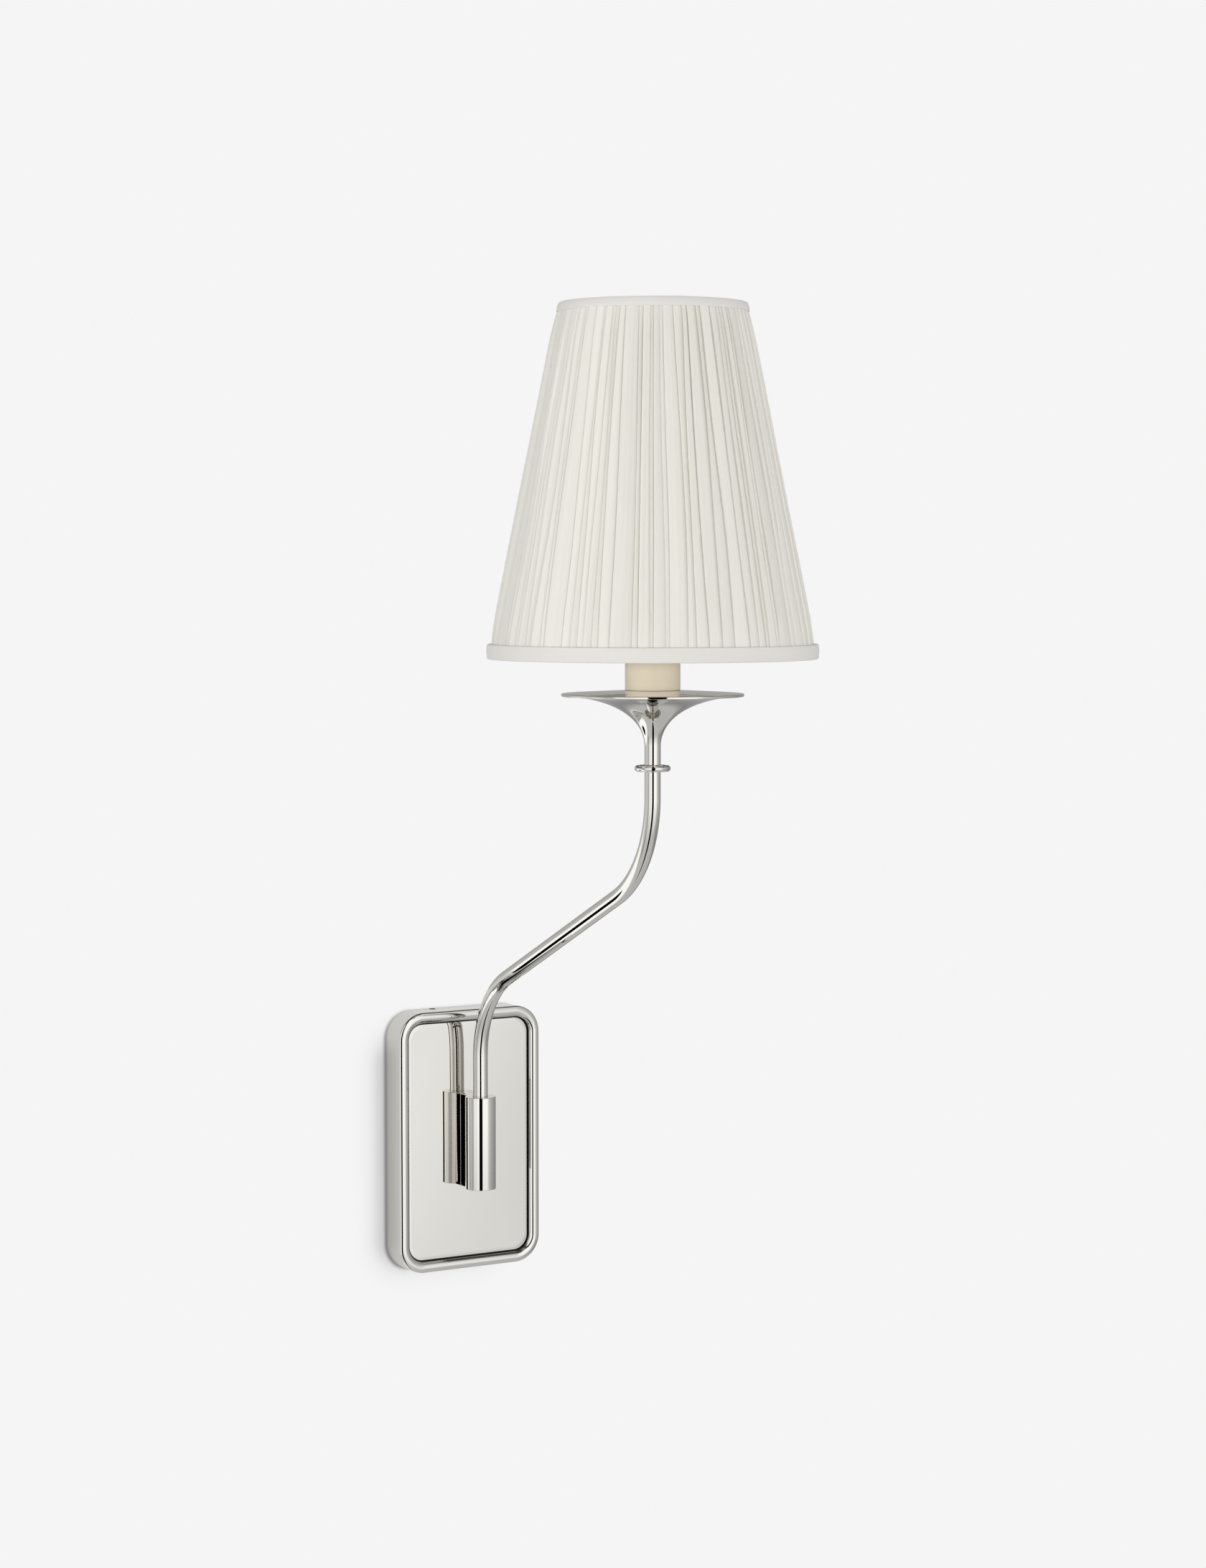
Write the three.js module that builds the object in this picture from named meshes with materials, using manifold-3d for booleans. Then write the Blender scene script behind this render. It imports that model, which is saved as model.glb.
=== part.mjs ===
// Swing arm wall sconce, polished nickel, with a gathered fabric taper shade.
//
// Units are millimetres, +Z is up. The wall is the plane Y = 0 and the sconce
// stands off it towards -Y; X runs along the wall. The origin is the centre of
// the flat back of the mounting bracket. "d" below is a distance from the wall,
// so a point at d lies at Y = -d.
import * as THREE from "three";
import { mergeVertices } from "three/addons/utils/BufferGeometryUtils.js";
import Module from "manifold-3d";

const wasm = await Module();
wasm.setup();

// ---------------------------------------------------------------- dimensions
const GAP = 0.3;              // clearance kept between touching pieces

// backplate
const PLATE_W = 102.6;        // overall width
const PLATE_H = 167.4;        // overall height
const PLATE_R = 17.5;         // outer corner radius
const WALL_T = 1.6;           // side wall thickness
const WALL_BACK = 0.4;        // gap between the frame's back edge and the wall
const WALL_D = 18.8;          // depth of the flat side wall
const BEAD_W = 7.0;           // width of the rounded bead
const BEAD_H = 1.9;           // height of the bead above the side wall
const SHELF_IN = 10.0;        // how far the inner shelf reaches in
const SHELF_D0 = 14.6;        // back face of the shelf
const SHELF_D1 = 16.0;        // front face of the shelf
const PANEL_D0 = 16.3;        // back face of the inset panel
const PANEL_D1 = 17.2;        // polished face of the inset panel
const PANEL_GROOVE = 0.7;     // groove between the panel and the bead
const BACKING_D0 = 12.7;
const BACKING_D1 = 14.3;

// bracket behind the plate
const BRACKET_W = 86.0;
const BRACKET_H = 161.0;
const BRACKET_T = 1.5;
const BRACKET_FLANGE = 11.0;  // how far the top and bottom flanges reach forward
const BOX_SCREW_Z = 44.45;    // half of the 88.9 mm junction box screw spacing
const WIRE_HOLE_R = 11.0;
const WIRE_HOLE_Z = -22.0;

// pivot barrel
const PIVOT_D = 32.77;        // pivot axis, distance from the wall
const BARREL_R = 9.83;
const BARREL_BORE_R = 8.2;
const BARREL_TOP = 29.3;
const BARREL_BOT = -30.2;
const BARREL_ROOF = 2.6;      // thickness of the closed top
const PLUG_IN = 0.2;          // plug set in from the barrel's end
const PLUG_H = 4.8;

const SADDLE_W = 11.8;        // block between the barrel and the panel

// stud that holds the barrel off the plate
const STUD_R = 4.85;
const STUD_BORE_R = 3.4;

// arm tube
const TUBE_R = 4.7625;        // 3/8 inch tube
const TUBE_BORE_R = 3.55;
const ARM_REACH = 203.6;      // pivot axis to lamp axis
const BEND1_Z = 55.2;         // start of the lower bend
const BEND1_R = 59.3;
const BEND2_R = 67.9;
const BEND_ANGLE = THREE.MathUtils.degToRad(64.74);
const LAMP_D = PIVOT_D + ARM_REACH;

// lamp end
const RING_Z = 249.4;         // collar ring
const RING_R = 10.6;
const RING_T = 3.7;
const NECK_Z = 251.6;         // bottom of the trumpet
const PAN_R = 53.5;           // drip pan
const PAN_RIM_Z0 = 291.58;
const PAN_RIM_Z1 = 293.15;
const PAN_SEAT_Z = 295.15;    // top of the pan where the sleeve stands
const SLEEVE_R = 16.2;
const SLEEVE_BORE_R = 14.9;
const SLEEVE_TOP = 346.0;

// shade
const SHADE_SLOPE = 0.19944;  // radius lost per mm of height
const SHADE_REF_Z = 512.73;
const SHADE_REF_R = 57.78;
const FABRIC_T = 2.2;         // depth of the gathers
const FABRIC_Z0 = 322.5;
const FABRIC_Z1 = 514.6;
const SHADE_Z0 = 312.8;
const SHADE_Z1 = 520.2;
const LINING_T = 0.6;
const WIRE_R = 1.2;
const RIB_R = 1.0;
const shadeR = (z) => SHADE_REF_R + SHADE_SLOPE * (SHADE_REF_Z - z);

// ------------------------------------------------------------------ helpers
// merge shared vertices, drop empty triangles and make the faces point out
function clean(geometry) {
  let g = geometry.clone();
  for (const name of Object.keys(g.attributes)) if (name !== "position") g.deleteAttribute(name);
  g = mergeVertices(g, 1e-4);
  const pos = g.getAttribute("position").array;
  const src = g.index.array;
  let tri = [];
  let volume = 0;
  const key = (i) => i * 3;
  for (let i = 0; i < src.length; i += 3) {
    const [a, b, c] = [src[i], src[i + 1], src[i + 2]];
    if (a === b || b === c || a === c) continue;
    tri.push(a, b, c);
    const [A, B, C] = [key(a), key(b), key(c)];
    volume += (pos[A] * (pos[B + 1] * pos[C + 2] - pos[B + 2] * pos[C + 1])
      + pos[A + 1] * (pos[B + 2] * pos[C] - pos[B] * pos[C + 2])
      + pos[A + 2] * (pos[B] * pos[C + 1] - pos[B + 1] * pos[C])) / 6;
  }
  if (volume < 0) for (let i = 0; i < tri.length; i += 3) [tri[i + 1], tri[i + 2]] = [tri[i + 2], tri[i + 1]];
  const out = new THREE.BufferGeometry();
  out.setAttribute("position", new THREE.BufferAttribute(new Float32Array(pos), 3));
  out.setIndex(tri);
  return out;
}
function toSolid(geometry) {
  const g = clean(geometry);
  return new wasm.Manifold(new wasm.Mesh({
    numProp: 3,
    vertProperties: new Float32Array(g.getAttribute("position").array),
    triVerts: new Uint32Array(g.index.array),
  }));
}
function fromSolid(solid) {
  const m = solid.getMesh();
  const pos = new Float32Array((m.vertProperties.length / m.numProp) * 3);
  for (let i = 0; i < pos.length / 3; i++) for (let k = 0; k < 3; k++) pos[3 * i + k] = m.vertProperties[m.numProp * i + k];
  const g = new THREE.BufferGeometry();
  g.setAttribute("position", new THREE.BufferAttribute(pos, 3));
  g.setIndex(Array.from(m.triVerts));
  return clean(g);
}
const cut = (a, ...tools) => fromSolid(tools.reduce((s, t) => s.subtract(toSolid(t)), toSolid(a)));
const join = (a, ...more) => fromSolid(more.reduce((s, t) => s.add(toSolid(t)), toSolid(a)));
const common = (a, b) => fromSolid(toSolid(a).intersect(toSolid(b)));

// a profile [radius, height] turned about the vertical through (x, -d)
function turned(profile, segments, x = 0, d = 0, phase = 0) {
  const pts = profile.map(([r, z]) => new THREE.Vector2(r, z));
  const onAxis = profile[0][0] === 0 && profile[profile.length - 1][0] === 0;
  if (!onAxis) pts.push(pts[0].clone());
  const g = new THREE.LatheGeometry(pts, segments);
  g.rotateX(Math.PI / 2);
  g.rotateZ(phase);
  g.translate(x, -d, 0);
  return g;
}
// a profile [radius, d] turned about the line square to the wall at (x, z)
function turnedOut(profile, segments, x = 0, z = 0, phase = 0) {
  const pts = profile.map(([r, dd]) => new THREE.Vector2(r, -dd));
  const onAxis = profile[0][0] === 0 && profile[profile.length - 1][0] === 0;
  if (!onAxis) pts.push(pts[0].clone());
  const g = new THREE.LatheGeometry(pts, segments);
  g.rotateY(phase);
  g.translate(x, 0, z);
  return g;
}
function roundedRect(w, h, r) {
  const s = new THREE.Shape();
  const a = w / 2, b = h / 2;
  s.moveTo(-a + r, -b);
  s.lineTo(a - r, -b);
  s.absarc(a - r, -b + r, r, -Math.PI / 2, 0, false);
  s.lineTo(a, b - r);
  s.absarc(a - r, b - r, r, 0, Math.PI / 2, false);
  s.lineTo(-a + r, b);
  s.absarc(-a + r, b - r, r, Math.PI / 2, Math.PI, false);
  s.lineTo(-a, -b + r);
  s.absarc(-a + r, -b + r, r, Math.PI, 1.5 * Math.PI, false);
  return s;
}
const asHole = (shape, n) => new THREE.Path(shape.getPoints(n));
function circleHole(x, y, r, n) {
  const p = new THREE.Path();
  p.absarc(x, y, r, 0, 2 * Math.PI, true);
  return new THREE.Path(p.getPoints(n));
}
// a flat outline in X and Z, thickened from d0 to d1 off the wall
function slab(shape, d0, d1, extra = {}) {
  const g = new THREE.ExtrudeGeometry(shape, {
    depth: d1 - d0, bevelEnabled: false, curveSegments: 4, steps: 1, ...extra,
  });
  g.translate(0, 0, d0);
  g.rotateX(Math.PI / 2);
  return g;
}
function box(x0, x1, d0, d1, z0, z1) {
  const g = new THREE.BoxGeometry(x1 - x0, d1 - d0, z1 - z0);
  g.translate((x0 + x1) / 2, -(d0 + d1) / 2, (z0 + z1) / 2);
  return g;
}
// a run through fixed stations, with the exact direction at each one
class Run extends THREE.Curve {
  constructor(points, tangents) { super(); this.points = points; this.tangents = tangents; }
  getPoint(t, target = new THREE.Vector3()) {
    const n = this.points.length - 1;
    const i = Math.min(Math.floor(t * n + 1e-9), n - 1);
    return target.lerpVectors(this.points[i], this.points[i + 1], t * n - i);
  }
  getPointAt(u, target) { return this.getPoint(u, target); }
  getTangentAt(u, target = new THREE.Vector3()) {
    const n = this.points.length - 1;
    return target.copy(this.tangents[Math.round(u * n)]);
  }
}
function sweep(points, tangents, r, bore = 0, sides = 6) {
  const s = new THREE.Shape();
  s.absarc(0, 0, r, 0, 2 * Math.PI, false);
  if (bore) {
    const hole = new THREE.Path();
    hole.absarc(0, 0, bore, 0, 2 * Math.PI, true);
    s.holes.push(hole);
  }
  return new THREE.ExtrudeGeometry(s, {
    steps: points.length - 1, extrudePath: new Run(points, tangents), curveSegments: sides,
  });
}
function wire(a, b, r, sides = 4) {
  const p = new THREE.Vector3(...a), q = new THREE.Vector3(...b);
  const dir = q.clone().sub(p).normalize();
  return sweep([p, q], [dir, dir], r, 0, sides);
}
// a smooth soft wire through given points
function lead(points, r, steps, sides = 3) {
  const c = new THREE.CatmullRomCurve3(points.map((p) => new THREE.Vector3(...p)), false, "centripetal");
  const pts = [], tans = [];
  for (let i = 0; i <= steps; i++) { pts.push(c.getPointAt(i / steps)); tans.push(c.getTangentAt(i / steps)); }
  return sweep(pts, tans, r, 0, sides);
}
function ringWire(r, rc, z, d, segments, sides = 6) {
  const prof = [];
  for (let i = 0; i < sides; i++) {
    const a = (i / sides) * 2 * Math.PI;
    prof.push([rc + r * Math.cos(a), z + r * Math.sin(a)]);
  }
  return turned(prof, segments, 0, d);
}

// ---------------------------------------------------------------- materials
const mat = (color, roughness, metalness) => new THREE.MeshStandardMaterial({ color, roughness, metalness });
const nickel = () => mat(0xd6d3cb, 0.06, 1);
const brass = () => mat(0xb08d4f, 0.35, 1);
const steel = () => mat(0x9a9c9e, 0.38, 1);
const zinc = () => mat(0xb9bbbb, 0.45, 1);
const ivory = () => mat(0xe4dac2, 0.45, 0);
const phenolic = () => mat(0x23201d, 0.5, 0);
const nylon = () => mat(0xe9e6dc, 0.55, 0);
const fabric = () => mat(0xe3e1d9, 0.95, 0);
const liningCloth = () => mat(0xefece4, 0.9, 0);
const trimCloth = () => mat(0xe2dfdb, 0.9, 0);
const whiteWire = () => mat(0xf1f1ee, 0.6, 0);
const opal = () => mat(0xf4f2ec, 0.3, 0);
const nut = () => mat(0xd9742b, 0.5, 0);

const group = new THREE.Group();
function add(name, geometry, material) {
  const g = clean(geometry);
  g.computeVertexNormals();
  const mesh = new THREE.Mesh(g, material);
  mesh.name = name;
  group.add(mesh);
}

// ================================================================= wall side
// pressed steel bracket: flat back on the wall, two flanges for the set screws
{
  const s = roundedRect(BRACKET_W, BRACKET_H, 6);
  s.holes.push(circleHole(0, WIRE_HOLE_Z, WIRE_HOLE_R, 10));
  for (const z of [-BOX_SCREW_Z, BOX_SCREW_Z]) {
    const slot = new THREE.Path();
    slot.absarc(-9, z, 2.6, Math.PI / 2, 1.5 * Math.PI, false);
    slot.absarc(9, z, 2.6, -Math.PI / 2, Math.PI / 2, false);
    s.holes.push(new THREE.Path(slot.getPoints(3)));
  }
  s.holes.push(circleHole(30, -62, 2.35, 6));
  const plate = slab(s, 0, BRACKET_T, { curveSegments: 3 });
  const top = box(-30, 30, 0.2, BRACKET_FLANGE, BRACKET_H / 2 - BRACKET_T, BRACKET_H / 2 - 0.02);
  const bottom = box(-30, 30, 0.2, BRACKET_FLANGE, -BRACKET_H / 2 + 0.02, -BRACKET_H / 2 + BRACKET_T);
  add("mounting_bracket", join(plate, top, bottom), zinc());
}
// green-wire screw on the bracket
add("ground_screw", turnedOut([[0, 0.3], [2.0, 0.3], [2.0, 1.8], [4.2, 1.8], [4.2, 3.6], [3.6, 4.3], [0, 4.3]], 12, 30, -62), brass());

// hollow frame: side wall, inner shelf and rounded bead in one piece
{
  const ring = (outerIn, innerIn, d0, d1, n = 4, extra = {}) => {
    const s = roundedRect(PLATE_W - 2 * outerIn, PLATE_H - 2 * outerIn, PLATE_R - outerIn);
    s.holes.push(asHole(roundedRect(PLATE_W - 2 * innerIn, PLATE_H - 2 * innerIn, Math.max(PLATE_R - innerIn, 1)), n));
    return slab(s, d0, d1, { curveSegments: n, ...extra });
  };
  const wall = ring(0, WALL_T, WALL_BACK, SHELF_D1, 4);
  const shelf = ring(0.4, SHELF_IN, SHELF_D0, SHELF_D1, 4);
  // bead: a band with both edges rounded, its back half cut off
  const half = BEAD_H - 0.25;
  const beadShape = roundedRect(PLATE_W - 2 * half, PLATE_H - 2 * half, PLATE_R - half);
  beadShape.holes.push(asHole(roundedRect(PLATE_W - 2 * (BEAD_W - half), PLATE_H - 2 * (BEAD_W - half), PLATE_R - (BEAD_W - half)), 4));
  const bead = new THREE.ExtrudeGeometry(beadShape, {
    depth: WALL_D - 8, steps: 1, curveSegments: 4,
    bevelEnabled: true, bevelSize: half, bevelThickness: BEAD_H, bevelSegments: 3,
  });
  bead.translate(0, 0, 8);
  bead.rotateX(Math.PI / 2);
  const front = common(bead, box(-70, 70, SHELF_D1 - 0.4, 40, -100, 100));
  let body = join(wall, shelf, front);
  // screw holes through the top and bottom side walls, countersunk outside
  const holes = [];
  for (const sgn of [-1, 1]) for (const x of [-19, 19]) {
    const z0 = sgn * (PLATE_H / 2);
    const g = turned([[0, -4], [2.8, -4], [2.8, -0.9], [3.9, 0.3], [3.9, 2], [0, 2]], 12);
    if (sgn < 0) g.rotateX(Math.PI);
    g.translate(x, -5.0, z0);
    holes.push(g);
  }
  body = cut(body, ...holes);
  add("backplate_frame", body, nickel());
}
// set screws, hex socket outwards
for (const [name, sx, sz] of [["set_screw_top_left", -19, 1], ["set_screw_top_right", 19, 1], ["set_screw_bottom_left", -19, -1], ["set_screw_bottom_right", 19, -1]]) {
  const g = turned([[0, -2.6], [1.7, -2.6], [2.5, -1.9], [2.5, -0.5], [2.2, -0.2], [0, -0.2]], 12);
  const hex = turned([[0, -1.5], [1.4, -1.5], [1.4, 1], [0, 1]], 6);
  const s = cut(g, hex);
  if (sz < 0) s.rotateX(Math.PI);
  s.translate(sx, -5.0, sz * PLATE_H / 2);
  add(name, s, steel());
}
// polished inset panel
{
  const m = BEAD_W + PANEL_GROOVE;
  const s = roundedRect(PLATE_W - 2 * m - 0.5, PLATE_H - 2 * m - 0.5, PLATE_R - m - 0.25);
  s.holes.push(circleHole(0, 0, STUD_R + GAP + 0.5, 12));
  const g = new THREE.ExtrudeGeometry(s, {
    depth: PANEL_D1 - PANEL_D0 - 0.5, steps: 1, curveSegments: 4,
    bevelEnabled: true, bevelSize: 0.25, bevelThickness: 0.25, bevelSegments: 1,
  });
  g.translate(0, 0, PANEL_D0 + 0.25);
  g.rotateX(Math.PI / 2);
  add("backplate_panel", g, nickel());
}
// steel backing plate that clamps the frame's shelf against the panel
{
  const s = roundedRect(PLATE_W - 2 * (WALL_T + 2.2), PLATE_H - 2 * (WALL_T + 2.2), PLATE_R - 4);
  s.holes.push(circleHole(0, 0, STUD_R + GAP + 0.1, 12));
  add("backing_plate", slab(s, BACKING_D0, BACKING_D1, { curveSegments: 4 }), zinc());
}
// saddle block between the panel and the barrel, as tall as the barrel and hollowed to fit round its back
{
  const block = box(-SADDLE_W / 2, SADDLE_W / 2, PANEL_D1 + GAP, 27, BARREL_BOT, BARREL_TOP);
  const room = turned([[0, -40], [BARREL_R + GAP, -40], [BARREL_R + GAP, 40], [0, 40]], 40, 0, PIVOT_D);
  const hole = turnedOut([[0, 15], [STUD_R + GAP, 15], [STUD_R + GAP, 30], [0, 30]], 20);
  add("pivot_spacer", cut(cut(block, room), hole), nickel());
}
// hollow threaded stud, screwed into the barrel's wall
add("pivot_stud", turnedOut([[STUD_BORE_R, 7.4], [STUD_R - 0.4, 7.4], [STUD_R, 7.9], [STUD_R, 24.0], [STUD_BORE_R, 24.0]], 20), zinc());
add("stud_washer", turnedOut([[STUD_R + GAP, 11.2], [9.0, 11.2], [9.0, 12.4], [STUD_R + GAP, 12.4]], 20), zinc());
{
  // split lock washer: a ring with a slanted cut
  const ring = turnedOut([[STUD_R + GAP, 9.9], [8.0, 9.9], [8.0, 10.9], [STUD_R + GAP, 10.9]], 20);
  const slit = box(-0.5, 0.5, 8, 12, 0, 10);
  slit.rotateY(0.3);
  add("stud_lock_washer", cut(ring, slit), steel());
}
{
  const hexNut = turnedOut([[0, 8.0], [8.1, 8.0], [8.1, 9.6], [0, 9.6]], 6);
  const hole = turnedOut([[0, 6], [STUD_R + GAP, 6], [STUD_R + GAP, 12], [0, 12]], 20);
  add("stud_nut", cut(hexNut, hole), zinc());
}
// pivot barrel: tube with a closed top, bored for the arm, side hole for the stud
{
  const c = 0.45;
  const body = turned([
    [TUBE_R + GAP, BARREL_TOP], [TUBE_R + GAP, BARREL_TOP - BARREL_ROOF], [BARREL_BORE_R, BARREL_TOP - BARREL_ROOF],
    [BARREL_BORE_R, BARREL_BOT], [BARREL_R - c, BARREL_BOT], [BARREL_R, BARREL_BOT + c],
    [BARREL_R, BARREL_TOP - c], [BARREL_R - c, BARREL_TOP],
  ], 32, 0, PIVOT_D);
  const hole = turnedOut([[0, 15], [STUD_R + GAP, 15], [STUD_R + GAP, PIVOT_D - 2], [0, PIVOT_D - 2]], 20);
  add("pivot_barrel", cut(body, hole), nickel());
}
// threaded plug let into the barrel's bottom
add("barrel_plug", turned([
  [0, BARREL_BOT + PLUG_IN], [BARREL_BORE_R - GAP, BARREL_BOT + PLUG_IN],
  [BARREL_BORE_R - GAP, BARREL_BOT + PLUG_IN + PLUG_H], [0, BARREL_BOT + PLUG_IN + PLUG_H],
], 32, 0, PIVOT_D), nickel());
// bearing stack inside the barrel, from the bottom up
add("wave_washer", turned([[3.6, -24.7], [7.6, -24.7], [7.6, -24.0], [3.6, -24.0]], 20, 0, PIVOT_D), steel());
add("lower_bush", turned([[6.8, -19.5], [7.9, -19.5], [7.9, -9.5], [6.8, -9.5]], 24, 0, PIVOT_D), nylon());
add("upper_bush", turned([[6.8, 10.5], [7.9, 10.5], [7.9, 20.5], [6.8, 20.5]], 24, 0, PIVOT_D), nylon());
// insulated lamp leads from the barrel through the stud into the wiring space
add("stud_lead", lead([[0, -25.5, 0], [0, -16, 0], [0, -9.5, -0.2], [0.4, -6.0, -3.0], [4, -5.0, -11], [13, -5.6, -23], [22, -6.8, -34]], 1.2, 16), whiteWire());
add("wire_connector_left", turned([[0, -20], [2.6, -20], [4.6, -15], [5.0, -2], [5.0, 0], [0, 0]], 12, -22, 6.8), nut());
add("wire_connector_right", turned([[0, -58], [2.6, -58], [4.6, -53], [5.0, -39], [5.0, -36.5], [0, -36.5]], 12, 22, 6.8), nut());

// ================================================================== arm side
// spindle that turns in the bushes; its back half is open so the leads can pass
{
  const body = turned([
    [3.4, -22.5], [6.5, -22.5], [6.5, 25.8], [TUBE_R + GAP, 25.8], [TUBE_R + GAP, 8.2], [3.4, 8.2],
  ], 24, 0, PIVOT_D);
  const window = box(-8, 8, PIVOT_D - 9, PIVOT_D - 0.5, -5.2, 5.2);
  add("arm_spindle", cut(body, window), brass());
}
add("thrust_washer", turned([[3.6, -23.7], [7.6, -23.7], [7.6, -22.8], [3.6, -22.8]], 20, 0, PIVOT_D), brass());

// arm: straight rise, bend out, slanted run, bend up, straight rise
const armLow = 8.5;
const armHigh = RING_Z + 1.6;
const b1 = { d: PIVOT_D + BEND1_R * (1 - Math.cos(BEND_ANGLE)), z: BEND1_Z + BEND1_R * Math.sin(BEND_ANGLE) };
const slantLen = (ARM_REACH - (BEND1_R + BEND2_R) * (1 - Math.cos(BEND_ANGLE))) / Math.sin(BEND_ANGLE);
const b2 = { d: b1.d + slantLen * Math.sin(BEND_ANGLE), z: b1.z + slantLen * Math.cos(BEND_ANGLE) };
const bend2End = b2.z + BEND2_R * Math.sin(BEND_ANGLE);
function armStations(zLow, zHigh, n) {
  const pts = [], tans = [];
  const put = (d, z, a) => { pts.push(new THREE.Vector3(0, -d, z)); tans.push(new THREE.Vector3(0, -Math.sin(a), Math.cos(a))); };
  put(PIVOT_D, zLow, 0);
  for (let i = 0; i <= n; i++) {
    const a = (BEND_ANGLE * i) / n;
    put(PIVOT_D + BEND1_R * (1 - Math.cos(a)), BEND1_Z + BEND1_R * Math.sin(a), a);
  }
  for (let i = 0; i <= n; i++) {
    const a = (BEND_ANGLE * (n - i)) / n;
    put(LAMP_D - BEND2_R * (1 - Math.cos(a)), bend2End - BEND2_R * Math.sin(a), a);
  }
  put(LAMP_D, zHigh, 0);
  return [pts, tans];
}
{
  const [pts, tans] = armStations(armLow, armHigh, 8);
  add("arm_tube", sweep(pts, tans, TUBE_R, TUBE_BORE_R, 5), nickel());
  const [wp, wt] = armStations(3.0, 288.0, 7);
  add("arm_lead", sweep(wp, wt, 1.6, 0, 3), whiteWire());
}
// hollow coupling that joins the trumpet to the tube
add("arm_coupling", turned([[2.3, 236.0], [TUBE_BORE_R - GAP, 236.0], [TUBE_BORE_R - GAP, 266.0], [2.3, 266.0]], 16, 0, LAMP_D), brass());

// collar ring: a full bead on a thin web round the tube
{
  const rb = RING_T / 2, rc = RING_R - rb, web = 0.8;
  const prof = [[TUBE_R + GAP, RING_Z - web], [rc - rb * 0.9, RING_Z - web]];
  for (let i = 0; i <= 7; i++) {
    const a = -Math.PI + 0.55 + (i / 7) * (2 * Math.PI - 1.1);
    prof.push([rc + rb * Math.cos(a), RING_Z + rb * Math.sin(a)]);
  }
  prof.push([rc - rb * 0.9, RING_Z + web], [TUBE_R + GAP, RING_Z + web]);
  add("collar_ring", turned(prof, 24, 0, LAMP_D), nickel());
}
// trumpet: spun shell that opens from the tube to the drip pan
{
  const outer = [
    [4.80, NECK_Z], [4.80, 256.0], [4.85, 262.3], [4.95, 265.7], [5.67, 269.0], [7.35, 272.4], [9.66, 275.75],
    [12.8, 279.1], [17.4, 282.5], [24.1, 285.8], [32.3, 289.0], [40.0, 290.6], [47.0, 291.28],
  ];
  const inner = [[47.0, 291.2], [40.0, 289.9], [32.3, 288.1], [24.1, 284.8], [17.4, 281.2], [12.2, 277.8], [8.7, 274.4], [6.2, 271.2], [4.2, 268.4], [TUBE_BORE_R, 266.3], [TUBE_BORE_R, NECK_Z]];
  // the rim of the shell closes flat under the pan
  inner[0] = [46.2, 291.28];
  add("trumpet", turned([...outer, ...inner], 24, 0, LAMP_D), nickel());
}
// drip pan: thin disc, its top rising slightly to the foot of the sleeve
add("drip_pan", turned([
  [5.3, PAN_RIM_Z0], [PAN_R - 0.5, PAN_RIM_Z0], [PAN_R, PAN_RIM_Z0 + 0.5], [PAN_R, PAN_RIM_Z1 - 0.5], [PAN_R - 0.5, PAN_RIM_Z1],
  [SLEEVE_R + 0.4, PAN_SEAT_Z], [5.3, PAN_SEAT_Z],
], 40, 0, LAMP_D), nickel());

// socket fixing: nipple with a nut and lock washer below the pan
add("socket_nipple", turned([[3.4, 283.2], [4.9, 283.2], [4.9, 300.6], [3.4, 300.6]], 20, 0, LAMP_D), zinc());
{
  const hex = turned([[0, 286.8], [8.1, 286.8], [8.1, 289.9], [0, 289.9]], 6, 0, LAMP_D);
  const hole = turned([[0, 280], [5.2, 280], [5.2, 295], [0, 295]], 20, 0, LAMP_D);
  add("pan_nut", cut(hex, hole), zinc());
}
add("pan_lock_washer", turned([[5.2, 290.2], [8.0, 290.2], [8.0, 291.2], [5.2, 291.2]], 20, 0, LAMP_D), steel());

// candle sleeve
add("candle_sleeve", turned([
  [SLEEVE_BORE_R, PAN_SEAT_Z + GAP], [SLEEVE_R, PAN_SEAT_Z + GAP], [SLEEVE_R, SLEEVE_TOP - 0.4], [SLEEVE_R - 0.4, SLEEVE_TOP], [SLEEVE_BORE_R, SLEEVE_TOP],
], 28, 0, LAMP_D), ivory());

// lamp holder inside the sleeve
add("socket_base_cap", turned([
  [5.2, 295.6], [9.0, 295.6], [13.6, 301.5], [13.6, 308.0], [11.9, 308.0], [11.9, 303.2], [5.2, 303.2],
], 18, 0, LAMP_D), phenolic());
add("socket_body", turned([
  [0, 305.0], [11.5, 305.0], [11.5, 308.4], [14.4, 308.4], [14.4, 352.0], [13.55, 352.0], [13.55, 311.5], [0, 311.5],
], 20, 0, LAMP_D), phenolic());
add("socket_shell", turned([
  [5.0, 312.4], [13.2, 312.4], [13.2, 350.5], [12.7, 350.5], [12.7, 312.9], [5.0, 312.9],
], 20, 0, LAMP_D), brass());
add("socket_contact", turned([[0, 311.9], [3.4, 311.9], [3.4, 313.0], [2.4, 314.6], [0, 314.6]], 12, 0, LAMP_D), brass());
// bulb
add("bulb_base", turned([
  [0, 315.0], [3.2, 315.0], [5.2, 316.6], [11.0, 320.0], [12.3, 321.5], [12.3, 341.5], [11.7, 341.5], [11.7, 322.2], [9.5, 320.4], [0, 318.5],
], 18, 0, LAMP_D), steel());
add("bulb_glass", turned([
  [10.9, 341.9], [12.1, 341.9], [12.3, 350.6], [13.9, 354.4], [18.8, 364.0], [25.4, 377.0], [29.2, 388.0], [30.0, 398.0],
  [28.4, 409.0], [23.6, 418.6], [15.4, 425.4], [6.0, 428.2], [0, 428.6],
  [0, 427.6], [5.8, 427.2], [14.8, 424.6], [22.8, 418.0], [27.4, 408.7], [29.0, 398.0], [28.2, 388.3], [24.5, 377.4], [13.0, 354.9], [11.3, 350.9],
], 20, 0, LAMP_D), opal());

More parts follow.
